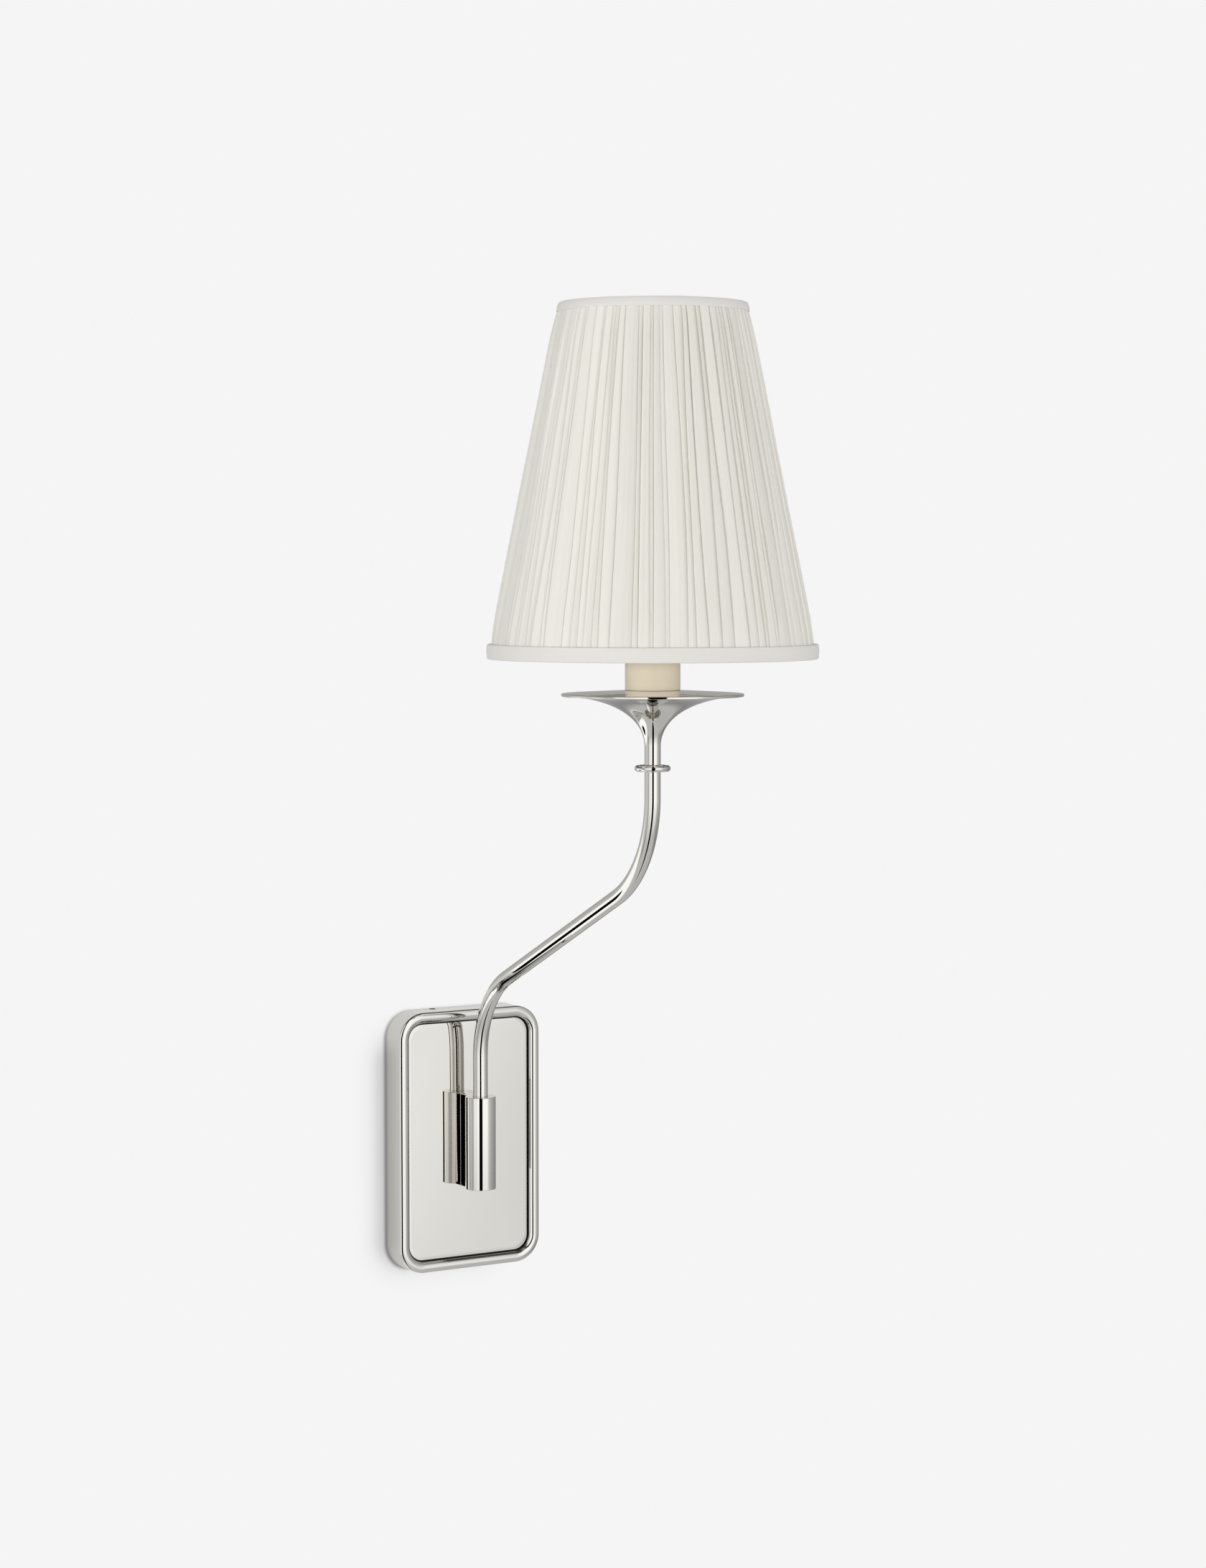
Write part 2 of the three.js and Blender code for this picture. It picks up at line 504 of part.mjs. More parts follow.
// shade carrier: fitter ring on the socket, ring nut above it, three spokes
add("fitter_ring", turned([[14.9, 348.0], [19.4, 348.0], [19.4, 349.4], [14.9, 349.4]], 24, 0, LAMP_D), nickel());
add("socket_ring_nut", turned([[14.75, 349.7], [18.2, 349.7], [18.2, 351.9], [16.6, 352.9], [14.75, 352.9]], 24, 0, LAMP_D), phenolic());
const ringLowZ = 315.6, ringLowR = shadeR(ringLowZ) - FABRIC_T - GAP - LINING_T - GAP - WIRE_R;
const ringTopZ = 517.0, ringTopR = shadeR(ringTopZ) - FABRIC_T - GAP - LINING_T - GAP - WIRE_R;
for (let i = 0; i < 3; i++) {
  const a = -Math.PI / 2 + (i * 2 * Math.PI) / 3;
  const c = Math.cos(a), s = Math.sin(a);
  const r0 = 19.4 + GAP + 0.15, r1 = ringLowR - WIRE_R - GAP - 0.15;
  add("shade_spoke_" + (i + 1), wire([r0 * c, -LAMP_D + r0 * s, 348.4], [r1 * c, -LAMP_D + r1 * s, ringLowZ + 0.4], 1.1, 4), nickel());
}
add("shade_ring_bottom", ringWire(WIRE_R, ringLowR, ringLowZ, LAMP_D, 32), nickel());
add("shade_ring_top", ringWire(WIRE_R, ringTopR, ringTopZ, LAMP_D, 28), nickel());
for (let i = 0; i < 6; i++) {
  const a = Math.PI / 6 + (i * Math.PI) / 3;
  const c = Math.cos(a), s = Math.sin(a);
  const z0 = ringLowZ + WIRE_R + 0.45, z1 = ringTopZ - WIRE_R - 0.45;
  const off = FABRIC_T + GAP + LINING_T + GAP + RIB_R + 0.15;
  const r0 = shadeR(z0) - off, r1 = shadeR(z1) - off;
  add("shade_rib_" + (i + 1), wire([r0 * c, -LAMP_D + r0 * s, z0], [r1 * c, -LAMP_D + r1 * s, z1], RIB_R, 3), nickel());
}
// stretched lining inside the gathers
{
  const t0 = FABRIC_T + GAP, t1 = t0 + LINING_T;
  const z0 = SHADE_Z0 + 0.6, z1 = SHADE_Z1 - 0.6;
  add("shade_lining", turned([[shadeR(z0) - t1, z0], [shadeR(z0) - t0, z0], [shadeR(z1) - t0, z1], [shadeR(z1) - t1, z1]], 44, 0, LAMP_D), liningCloth());
}
// gathered outer fabric, a plain conical wall as deep as the gathers
add("shade_fabric", turned([
  [shadeR(FABRIC_Z0) - FABRIC_T, FABRIC_Z0], [shadeR(FABRIC_Z0), FABRIC_Z0], [shadeR(FABRIC_Z1), FABRIC_Z1], [shadeR(FABRIC_Z1) - FABRIC_T, FABRIC_Z1],
], 44, 0, LAMP_D), fabric());
// folded trim bands on both edges
{
  const z1 = FABRIC_Z0 - GAP, ro = 97.4, ri0 = shadeR(SHADE_Z0) - FABRIC_T + 0.1, ri1 = shadeR(z1) - FABRIC_T + 0.1;
  add("trim_bottom", turned([[ri0, SHADE_Z0], [ro - 1.0, SHADE_Z0], [ro, SHADE_Z0 + 1.0], [ro, z1 - 0.8], [ro - 0.8, z1], [ri1, z1]], 44, 0, LAMP_D), trimCloth());
}
{
  const z0 = FABRIC_Z1 + GAP, ri = shadeR(z0) - FABRIC_T + 0.1, ri1 = shadeR(SHADE_Z1) - FABRIC_T + 0.1;
  add("trim_top", turned([[ri, z0], [57.5, z0], [57.2, SHADE_Z1 - 0.9], [56.3, SHADE_Z1], [ri1, SHADE_Z1]], 44, 0, LAMP_D), trimCloth());
}

export default group;
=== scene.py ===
# Swing arm wall sconce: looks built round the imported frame.
import math

import bmesh
import bpy
import numpy as np
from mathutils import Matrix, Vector


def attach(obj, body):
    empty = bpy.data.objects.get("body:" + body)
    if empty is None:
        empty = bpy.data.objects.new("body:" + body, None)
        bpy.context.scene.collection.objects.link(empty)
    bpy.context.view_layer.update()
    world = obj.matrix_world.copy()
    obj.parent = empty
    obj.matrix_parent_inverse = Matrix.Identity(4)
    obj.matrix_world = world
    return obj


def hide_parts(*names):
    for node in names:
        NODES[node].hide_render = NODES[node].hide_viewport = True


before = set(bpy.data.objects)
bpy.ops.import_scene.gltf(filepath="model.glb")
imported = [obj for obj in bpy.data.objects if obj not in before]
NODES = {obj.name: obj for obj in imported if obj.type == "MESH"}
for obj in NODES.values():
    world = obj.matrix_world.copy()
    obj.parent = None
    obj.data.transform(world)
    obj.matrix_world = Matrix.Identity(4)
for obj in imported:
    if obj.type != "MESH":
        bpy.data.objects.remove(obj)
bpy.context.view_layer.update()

scene = bpy.context.scene
MM = 0.001

# the sizes that part.mjs settles, in millimetres
PLATE_W, PLATE_H, PLATE_R = 102.6, 167.4, 17.5
PIVOT_D, LAMP_D = 32.77, 236.37
BARREL_R, BARREL_TOP, BARREL_BOT, BORE_R = 9.83, 29.3, -30.2, 8.2
SIDE_D, PANEL_D, PANEL_IN, SADDLE_W = 18.8, 17.2, 7.7, 11.8
TUBE_R = 4.7625
SHADE_SLOPE, SHADE_REF_Z, SHADE_REF_R = 0.19944, 512.73, 57.78


def shade_r(z):
    return SHADE_REF_R + SHADE_SLOPE * (SHADE_REF_Z - z)


# ---------------------------------------------------------------- camera
cam_data = bpy.data.cameras.new("camera")
cam_data.sensor_fit = "AUTO"
cam_data.sensor_width = 36.0
cam_data.lens = 36.0 * 4810.7 / 2185.0
cam_data.clip_start, cam_data.clip_end = 0.05, 60.0
cam = bpy.data.objects.new("camera", cam_data)
scene.collection.objects.link(cam)
cam.location = (-1.08943, -1.93593, 0.36644)
cam.rotation_euler = (math.radians(90 - 3.579), 0.0, math.radians(-31.836))
scene.camera = cam
scene.view_settings.view_transform = "Standard"
scene.view_settings.look = "None"
scene.view_settings.exposure = 0.0
scene.view_settings.gamma = 1.0


# ---------------------------------------------------------------- mesh helpers
def make(name, verts, faces, sharp=32.0, flip=None):
    """A mesh object from points in millimetres, faces turned outwards, smooth where it bends gently."""
    me = bpy.data.meshes.new(name)
    me.from_pydata([tuple(float(c) * MM for c in v) for v in verts], [], faces)
    bm = bmesh.new()
    bm.from_mesh(me)
    bmesh.ops.remove_doubles(bm, verts=bm.verts, dist=1e-8)
    if flip is None:
        bmesh.ops.recalc_face_normals(bm, faces=bm.faces)
    elif flip:
        bmesh.ops.reverse_faces(bm, faces=bm.faces)
    bm.to_mesh(me)
    bm.free()
    me.shade_smooth()
    me.set_sharp_from_angle(angle=math.radians(sharp))
    ob = bpy.data.objects.new(name, me)
    scene.collection.objects.link(ob)
    return ob


def rounded(points, default=0.0, step=10.0, closed=True):
    """Rounds the corners of a polyline. A point is (a, b) or (a, b, radius)."""
    out = []
    n = len(points)
    for i, p in enumerate(points):
        r = p[2] if len(p) > 2 else default
        q = np.array(p[:2], float)
        if r <= 0 or (not closed and i in (0, n - 1)):
            out.append(tuple(q))
            continue
        a = np.array(points[i - 1][:2], float) - q
        b = np.array(points[(i + 1) % n][:2], float) - q
        la, lb = np.linalg.norm(a), np.linalg.norm(b)
        a, b = a / la, b / lb
        ang = math.acos(max(-1, min(1, float(a @ b))))
        if ang > math.pi - 0.02:
            out.append(tuple(q))
            continue
        cut = min(r / math.tan(ang / 2), la * 0.49, lb * 0.49)
        r = cut * math.tan(ang / 2)
        centre = q + (a + b) / np.linalg.norm(a + b) * (r / math.sin(ang / 2))
        s, e = q + a * cut - centre, q + b * cut - centre
        t0, t1 = math.atan2(s[1], s[0]), math.atan2(e[1], e[0])
        d = (t1 - t0 + math.pi) % (2 * math.pi) - math.pi
        k = max(2, int(math.ceil(abs(math.degrees(d)) / step)))
        for j in range(k + 1):
            t = t0 + d * j / k
            out.append((centre[0] + r * math.cos(t), centre[1] + r * math.sin(t)))
    return out


def turned(name, profile, segments, x=0.0, d=0.0, along="z", z=0.0, closed=True, sharp=32.0):
    """A profile of (radius, height) turned about the upright at (x, -d), or about the line square to the wall at (x, z)."""
    verts, rings = [], []
    for r, h in profile:
        if r < 1e-6:
            rings.append([len(verts)])
            verts.append((x, -d, h) if along == "z" else (x, -h, z))
            continue
        ring = []
        for k in range(segments):
            a = 2 * math.pi * k / segments
            ring.append(len(verts))
            if along == "z":
                verts.append((x + r * math.cos(a), -d + r * math.sin(a), h))
            else:
                verts.append((x + r * math.cos(a), -h, z + r * math.sin(a)))
        rings.append(ring)
    faces = []
    last = len(rings) if closed else len(rings) - 1
    for i in range(last):
        a, b = rings[i], rings[(i + 1) % len(rings)]
        if len(a) == 1 and len(b) == 1:
            continue
        for k in range(segments):
            l = (k + 1) % segments
            if len(a) == 1:
                faces.append((a[0], b[k], b[l]))
            elif len(b) == 1:
                faces.append((a[k], a[l], b[0]))
            else:
                faces.append((a[k], a[l], b[l], b[k]))
    return make(name, verts, faces, sharp)


def lofted(name, loops, closed_path=True, cap=False, sharp=32.0):
    """Joins loops of equal length into a skin."""
    verts = [p for loop in loops for p in loop]
    n, m = len(loops), len(loops[0])
    faces = []
    for i in range(n if closed_path else n - 1):
        a, b = i * m, ((i + 1) % n) * m
        for k in range(m):
            l = (k + 1) % m
            faces.append((a + k, a + l, b + l, b + k))
    if cap:
        faces.append(tuple(range(m)))
        faces.append(tuple(range((n - 1) * m, n * m)))
    return make(name, verts, faces, sharp)


def swept(name, points, tangents, r, bore=0.0, sides=40, sharp=40.0, side=(1, 0, 0), round_end=0.0):
    """A round tube or rod along stations in millimetres."""
    loops_o, loops_i = [], []
    side = Vector(side)
    frames = []
    for p, t in zip(points, tangents):
        t = Vector(t).normalized()
        u = (side - t * side.dot(t)).normalized()
        v = t.cross(u)
        frames.append((Vector(p), t, u, v))

    def ring(f, rad):
        p, _, u, v = f
        return [tuple(p + u * (rad * math.cos(2 * math.pi * k / sides)) + v * (rad * math.sin(2 * math.pi * k / sides))) for k in range(sides)]

    outer = []
    if round_end > 0:
        for j in range(5):
            a = math.pi / 2 * j / 5
            p, t, u, v = frames[0]
            outer.append(ring((p + t * (round_end * (1 - math.sin(a))), t, u, v), r - round_end * (1 - math.cos(a)) if False else r - round_end + round_end * math.sin(a)))
    inner_frames = frames[1:-1] if round_end > 0 else frames
    for f in inner_frames:
        outer.append(ring(f, r))
    if round_end > 0:
        for j in range(5):
            a = math.pi / 2 * (5 - j) / 5
            p, t, u, v = frames[-1]
            outer.append(ring((p - t * (round_end * (1 - math.sin(a - math.pi / 10))), t, u, v), r - round_end + round_end * math.sin(a - math.pi / 10)))
    if bore > 0:
        loops = outer + [ring(f, bore) for f in reversed(frames)]
        return lofted(name, loops, closed_path=True, sharp=sharp)
    return lofted(name, outer, closed_path=False, cap=True, sharp=sharp)


# ---------------------------------------------------------------- materials
def material(name):
    m = bpy.data.materials.new(name)
    m.use_nodes = True
    nt = m.node_tree
    nt.nodes.clear()
    out = nt.nodes.new("ShaderNodeOutputMaterial")
    bsdf = nt.nodes.new("ShaderNodeBsdfPrincipled")
    nt.links.new(bsdf.outputs["BSDF"], out.inputs["Surface"])
    return m, nt, bsdf


def node(nt, kind, **values):
    n = nt.nodes.new(kind)
    for k, v in values.items():
        if k in n.inputs:
            n.inputs[k].default_value = v
        else:
            setattr(n, k, v)
    return n


def mapped(nt, scale=(1, 1, 1), attribute=None):
    """Object coordinates, or a mesh attribute, scaled."""
    mp = nt.nodes.new("ShaderNodeMapping")
    mp.inputs["Scale"].default_value = scale
    if attribute:
        src = nt.nodes.new("ShaderNodeAttribute")
        src.attribute_name = attribute
        nt.links.new(src.outputs["Vector"], mp.inputs["Vector"])
    else:
        src = nt.nodes.new("ShaderNodeTexCoord")
        nt.links.new(src.outputs["Object"], mp.inputs["Vector"])
    return mp.outputs["Vector"]


def noise(nt, vector, scale, detail=2.0, rough=0.5, distortion=0.0):
    n = nt.nodes.new("ShaderNodeTexNoise")
    n.inputs["Scale"].default_value = scale
    n.inputs["Detail"].default_value = detail
    n.inputs["Roughness"].default_value = rough
    n.inputs["Distortion"].default_value = distortion
    nt.links.new(vector, n.inputs["Vector"])
    return n.outputs["Fac"]


def ranged(nt, value, lo, hi, from_lo=0.0, from_hi=1.0, smooth=False):
    n = nt.nodes.new("ShaderNodeMapRange")
    n.interpolation_type = "SMOOTHSTEP" if smooth else "LINEAR"
    n.inputs["From Min"].default_value = from_lo
    n.inputs["From Max"].default_value = from_hi
    n.inputs["To Min"].default_value = lo
    n.inputs["To Max"].default_value = hi
    nt.links.new(value, n.inputs["Value"])
    return n.outputs["Result"]


def maths(nt, op, a, b=None, c=None, clamp=False):
    n = nt.nodes.new("ShaderNodeMath")
    n.operation = op
    n.use_clamp = clamp
    for i, v in enumerate((a, b, c)):
        if v is None:
            continue
        if isinstance(v, (int, float)):
            n.inputs[i].default_value = v
        else:
            nt.links.new(v, n.inputs[i])
    return n.outputs[0]


def mixed(nt, fac, a, b):
    n = nt.nodes.new("ShaderNodeMix")
    n.data_type = "RGBA"
    if isinstance(fac, (int, float)):
        n.inputs[0].default_value = fac
    else:
        nt.links.new(fac, n.inputs[0])
    for i, v in ((6, a), (7, b)):
        if isinstance(v, tuple):
            n.inputs[i].default_value = (*v, 1.0) if len(v) == 3 else v
        else:
            nt.links.new(v, n.inputs[i])
    return n.outputs[2]


def bumped(nt, bsdf, height, strength, distance, chain=None):
    n = nt.nodes.new("ShaderNodeBump")
    n.inputs["Strength"].default_value = strength
    n.inputs["Distance"].default_value = distance
    nt.links.new(height, n.inputs["Height"])
    if chain is not None:
        nt.links.new(chain, n.inputs["Normal"])
    nt.links.new(n.outputs["Normal"], bsdf.inputs["Normal"])
    return n.outputs["Normal"]


def metal(name, tone_a, tone_b, rough_a, rough_b, wave=0.0, grain=0.0, grain_scale=900.0, stretch=(1, 1, 1)):
    """Metal with faint tone drift, polishing haze and, on mirror finishes, a slow surface waviness."""
    m, nt, b = material(name)
    v = mapped(nt, (1, 1, 1))
    drift = noise(nt, v, 18.0, 3.0, 0.5)
    nt.links.new(mixed(nt, drift, tone_a, tone_b), b.inputs["Base Color"])
    haze = noise(nt, mapped(nt, stretch), 260.0, 4.0, 0.6)
    nt.links.new(ranged(nt, haze, rough_a, rough_b, 0.3, 0.75), b.inputs["Roughness"])
    b.inputs["Metallic"].default_value = 1.0
    chain = None
    if wave:
        slow = noise(nt, v, 34.0, 1.0, 0.4)
        chain = bumped(nt, b, slow, wave, 0.0004)
    if grain:
        fine = noise(nt, mapped(nt, stretch), grain_scale, 3.0, 0.6)
        bumped(nt, b, fine, grain, 0.00005, chain)
    return m


NICKEL = metal("nickel_polished", (0.78, 0.766, 0.735), (0.755, 0.741, 0.71), 0.006, 0.016, wave=0.035)
NICKEL_PANEL = metal("nickel_panel", (0.775, 0.76, 0.73), (0.755, 0.741, 0.71), 0.008, 0.018, wave=0.06)
# painted shade: a near-black base colour for the recess behind the bead, where shade falls; its rough, grained finish
# is that of the unpolished inside
RECESS_SHADE = metal("recess_shade_unpolished", (0.10, 0.095, 0.088), (0.055, 0.052, 0.048), 0.42, 0.60, grain=0.4, grain_scale=800.0)
NICKEL_WIRE = metal("nickel_wire", (0.72, 0.71, 0.68), (0.66, 0.65, 0.62), 0.10, 0.22, grain=0.2, grain_scale=1500.0)
ZINC = metal("zinc_plated", (0.62, 0.63, 0.63), (0.52, 0.53, 0.54), 0.30, 0.48, grain=0.5, grain_scale=700.0, stretch=(1, 1, 0.2))
STEEL = metal("steel_bright", (0.58, 0.59, 0.60), (0.50, 0.51, 0.52), 0.22, 0.38, grain=0.4, grain_scale=900.0)
BRASS = metal("brass_machined", (0.66, 0.50, 0.25), (0.58, 0.43, 0.20), 0.20, 0.36, grain=0.3, grain_scale=900.0, stretch=(1, 1, 6))


def plastic(name, a, b_, rough_a, rough_b, grain=0.2, scale=600.0, coat=0.0, sss=0.0):
    m, nt, b = material(name)
    v = mapped(nt)
    nt.links.new(mixed(nt, noise(nt, v, 22.0, 3.0), a, b_), b.inputs["Base Color"])
    nt.links.new(ranged(nt, noise(nt, v, 180.0, 3.0), rough_a, rough_b, 0.3, 0.7), b.inputs["Roughness"])
    b.inputs["Coat Weight"].default_value = coat
    b.inputs["Coat Roughness"].default_value = 0.12
    bumped(nt, b, noise(nt, v, scale, 2.0), grain, 0.00008)
    return m


IVORY = plastic("sleeve_ivory", (0.86, 0.765, 0.595), (0.83, 0.735, 0.565), 0.30, 0.42, 0.15, 420.0, coat=0.12)
PHENOLIC = plastic("phenolic", (0.030, 0.026, 0.023), (0.045, 0.038, 0.032), 0.38, 0.55, 0.3)
NYLON = plastic("nylon", (0.74, 0.73, 0.69), (0.68, 0.67, 0.63), 0.45, 0.6)
INSULATION = plastic("wire_insulation", (0.80, 0.79, 0.76), (0.74, 0.73, 0.70), 0.4, 0.55)
CONNECTOR = plastic("twist_connector", (0.70, 0.24, 0.06), (0.62, 0.20, 0.05), 0.4, 0.55)
OPAL = plastic("opal_glass", (0.84, 0.83, 0.80), (0.80, 0.79, 0.765), 0.16, 0.24, 0.05, 900.0, coat=0.3)


def steady(mat, rough):
    """A small or hidden piece: its colour varies, its roughness is one value."""
    nt = mat.node_tree
    b = next(n for n in nt.nodes if n.type == "BSDF_PRINCIPLED")
    for name_ in ("Roughness", "Normal"):
        for l in list(b.inputs[name_].links):
            nt.links.remove(l)
    b.inputs["Roughness"].default_value = rough


for mat_, rough_ in ((RECESS_SHADE, 0.50), (NICKEL_WIRE, 0.16), (ZINC, 0.40), (STEEL, 0.30), (BRASS, 0.28),
                     (PHENOLIC, 0.46), (NYLON, 0.52), (INSULATION, 0.47), (CONNECTOR, 0.47), (OPAL, 0.20)):
    steady(mat_, rough_)


def cloth(name, light, dark, streak=0.5, sheen=0.12, weave=0.35, folds=0.0):
    """Cloth with thread streaks that run along it, a slow tone drift between folds and a fine weave. When folds is
    given, the attribute 'fold' darkens the colour in the creases as painted shade (its first value) and gives each fold
    a random tone (its second); folds is the share of the colour kept at the bottom of a crease. The attribute 'cloth'
    holds millimetres across, millimetres up, and a number for each fold."""
    m, nt, b = material(name)
    streaks = noise(nt, mapped(nt, (1.0, 0.018, 1.0), "cloth"), 1.15, 3.0, 0.65)
    fine = noise(nt, mapped(nt, (1.0, 0.05, 1.0), "cloth"), 3.6, 2.0, 0.6)
    drift = noise(nt, mapped(nt, (0.12, 0.012, 1.0), "cloth"), 1.0, 2.0, 0.5)
    mix = maths(nt, "MULTIPLY_ADD", streaks, streak, maths(nt, "MULTIPLY", fine, 0.25))
    mix = maths(nt, "MULTIPLY_ADD", drift, 0.35, mix)
    fac = ranged(nt, mix, 0.0, 1.0, 0.28, 0.78)
    tint = mixed(nt, fac, dark, light)
    if folds:
        # painted shade: the first value of 'fold' darkens the cloth in its creases; the second is a random tone for
        # each fold
        src = nt.nodes.new("ShaderNodeAttribute")
        src.attribute_name = "fold"
        sp = nt.nodes.new("ShaderNodeSeparateXYZ")
        nt.links.new(src.outputs["Vector"], sp.inputs[0])
        crease_shade_and_tone = ranged(nt, sp.outputs[0], folds, 1.0, 0.0, 0.9)
        crease_shade_and_tone = maths(nt, "MULTIPLY", crease_shade_and_tone, maths(nt, "MULTIPLY_ADD", sp.outputs[1], 0.012, 1.0))
        sc = nt.nodes.new("ShaderNodeVectorMath")
        sc.operation = "SCALE"
        nt.links.new(tint, sc.inputs[0])
        nt.links.new(crease_shade_and_tone, sc.inputs["Scale"])
        tint = sc.outputs[0]
    nt.links.new(tint, b.inputs["Base Color"])
    b.inputs["Roughness"].default_value = 0.88
    b.inputs["Sheen Weight"].default_value = sheen
    b.inputs["Sheen Roughness"].default_value = 0.5
    b.inputs["Specular IOR Level"].default_value = 0.18
    threads = nt.nodes.new("ShaderNodeTexWave")
    threads.wave_type, threads.bands_direction = "BANDS", "X"
    threads.inputs["Scale"].default_value = 2.2
    threads.inputs["Distortion"].default_value = 1.2
    threads.inputs["Detail"].default_value = 1.0
    nt.links.new(mapped(nt, (1.0, 0.06, 1.0), "cloth"), threads.inputs["Vector"])
    chain = bumped(nt, b, streaks, weave, 0.00022)
    chain = bumped(nt, b, threads.outputs["Fac"], 0.25 * weave, 0.00012, chain)
    bumped(nt, b, noise(nt, mapped(nt, (1, 1, 1), "cloth"), 3.0, 2.0), 0.3 * weave, 0.00012, chain)
    return m


# the shirred cloth's creases are painted down to 0.82 of its colour, as painted shade
FABRIC = cloth("shirred_linen", (0.80, 0.785, 0.725), (0.755, 0.74, 0.68), folds=0.82)
TRIM = cloth("binding_linen", (0.765, 0.745, 0.715), (0.715, 0.695, 0.665), streak=0.2, weave=0.35)
LINING = cloth("lining_satin", (0.84, 0.82, 0.77), (0.80, 0.78, 0.73), streak=0.3, sheen=0.1, weave=0.2)


def finish_piece(ob, mat, body, nodes=()):
    ob.data.materials.clear()
    ob.data.materials.append(mat)
    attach(ob, body)
    if nodes:
        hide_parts(*([nodes] if isinstance(nodes, str) else nodes))
    return ob


def attribute3(ob, name, values):
    a = ob.data.attributes.new(name, "FLOAT_VECTOR", "POINT")
    a.data.foreach_set("vector", np.asarray(values, np.float32).ravel())


# ---------------------------------------------------------------- backplate
def plate_stations(corner=26, straight=10):
    """(centre x, centre z, normal x, normal z) round the plate's outline."""
    a, b = PLATE_W / 2 - PLATE_R, PLATE_H / 2 - PLATE_R
    out = []
    corners = [(a, b, 0.0), (-a, b, 90.0), (-a, -b, 180.0), (a, -b, 270.0)]
    for i, (cx, cz, start) in enumerate(corners):
        for k in range(corner + 1):
            t = math.radians(start + 90.0 * k / corner)
            out.append((cx, cz, math.cos(t), math.sin(t)))
        nx, nz, _ = corners[(i + 1) % 4]
        t = math.radians(start + 90.0)
        for k in range(1, straight):
            s = k / straight
            out.append((cx + (nx - cx) * s, cz + (nz - cz) * s, math.cos(t), math.sin(t)))
    return out


STATIONS = plate_stations()


def station_point(s, o, d):
    cx, cz, nx, nz = s
    return (cx + (PLATE_R - o) * nx, -d, cz + (PLATE_R - o) * nz)


profile = [(0.0, 0.4, 0.25)]
bead = [(0.0, SIDE_D)]
o_, d_ = 0.0, SIDE_D
for r_, a0, a1, n_ in ((1.37, -90, -30, 14), (5.3, -30, 0, 12), (3.7, 0, 84, 22)):     # the bead: a tight outer edge, a broad crown, a softer inner side
    for k in range(1, n_ + 1):
        p0, p1 = (math.radians(a0 + (a1 - a0) * j / n_) for j in (k - 1, k))
        o_ += r_ * (math.sin(p1) - math.sin(p0))
        d_ += r_ * (math.cos(p1) - math.cos(p0))
        bead.append((o_, d_))
scale_o = 6.98 / bead[-1][0]
profile += [(o * scale_o, d) for o, d in bead]
profile += [(7.0, 16.0, 0.3), (10.0, 16.0, 0.3), (10.0, 14.6, 0.3), (1.6, 14.6, 0.8), (1.6, 0.4, 0.3)]
profile = rounded(profile, step=15)
frame_shell = lofted("backplate_shell", [[station_point(s, o, d) for o, d in profile] for s in STATIONS], sharp=28)

# countersunk holes for the set screws
cutters = []
for sx, sz in ((-19, 1), (19, 1), (-19, -1), (19, -1)):
    prof = [(0, -5.0), (2.8, -5.0), (2.8, -1.0), (3.9, 0.12), (3.9, 1.2), (0, 1.2)]
    c = turned("cutter", [(r, h * sz + sz * PLATE_H / 2) for r, h in prof], 40, sx, 5.0, closed=False)
    cutters.append(c)
for c in cutters:
    mod = frame_shell.modifiers.new("hole", "BOOLEAN")
    mod.operation, mod.solver, mod.object = "DIFFERENCE", "EXACT", c
dg = bpy.context.evaluated_depsgraph_get()
cut_mesh = bpy.data.meshes.new_from_object(frame_shell.evaluated_get(dg))
frame_shell.modifiers.clear()
frame_shell.data = cut_mesh
for c in cutters:
    bpy.data.objects.remove(c)
cut_mesh.shade_smooth()
cut_mesh.set_sharp_from_angle(angle=math.radians(28))
wn = frame_shell.modifiers.new("weighted", "WEIGHTED_NORMAL")
wn.keep_sharp, wn.weight = True, 80
finish_piece(frame_shell, NICKEL, "wall_mount", "backplate_frame")
# faces set back behind the bead take the second material, the painted recess shade
frame_shell.data.materials.append(RECESS_SHADE)
for f in frame_shell.data.polygons:
    x_, d_, z_ = f.center.x / MM, -f.center.y / MM, f.center.z / MM
    cx_, cz_ = max(abs(x_) - (PLATE_W / 2 - PLATE_R), 0.0), max(abs(z_) - (PLATE_H / 2 - PLATE_R), 0.0)
    inward = min(PLATE_W / 2 - abs(x_), PLATE_H / 2 - abs(z_)) if min(cx_, cz_) <= 0 else PLATE_R - math.hypot(cx_, cz_)
    if inward > 1.2 and d_ < 18.3:
        f.material_index = 1

# inset panel: very slightly crowned, as pressed and polished sheet is
def panel_d(x, z):
    return PANEL_D + 0.2 * max(0.0, 1 - (x / 43.6) ** 2) * max(0.0, 1 - (z / 76.0) ** 2)


loops = []
m_off = PANEL_IN
hole = 5.65
n_st = len(STATIONS)
for f in np.linspace(0, 1, 30):
    loop = []
    for s in STATIONS:
        x1, _, z1 = station_point(s, m_off + 0.3, 0)
        ang = math.atan2(z1, x1)
        x0, z0 = hole * math.cos(ang), hole * math.sin(ang)
        x, z = x0 + (x1 - x0) * f, z0 + (z1 - z0) * f
        loop.append((x, -panel_d(x, z), z))
    loops.append(loop)
for t in (20, 40, 60, 75, 90):
    t = math.radians(t)
    loops.append([station_point(s, m_off + 0.3 - 0.3 * math.sin(t), PANEL_D - 0.3 + 0.3 * math.cos(t)) for s in STATIONS])
loops.append([station_point(s, m_off, 16.3) for s in STATIONS])
back = []
for s in STATIONS:
    x1, _, z1 = station_point(s, m_off, 0)
    ang = math.atan2(z1, x1)
    back.append((hole * math.cos(ang), -16.3, hole * math.sin(ang)))
loops.append(back)
panel = lofted("inset_panel", loops, closed_path=True, sharp=30)
finish_piece(panel, NICKEL_PANEL, "wall_mount", "backplate_panel")

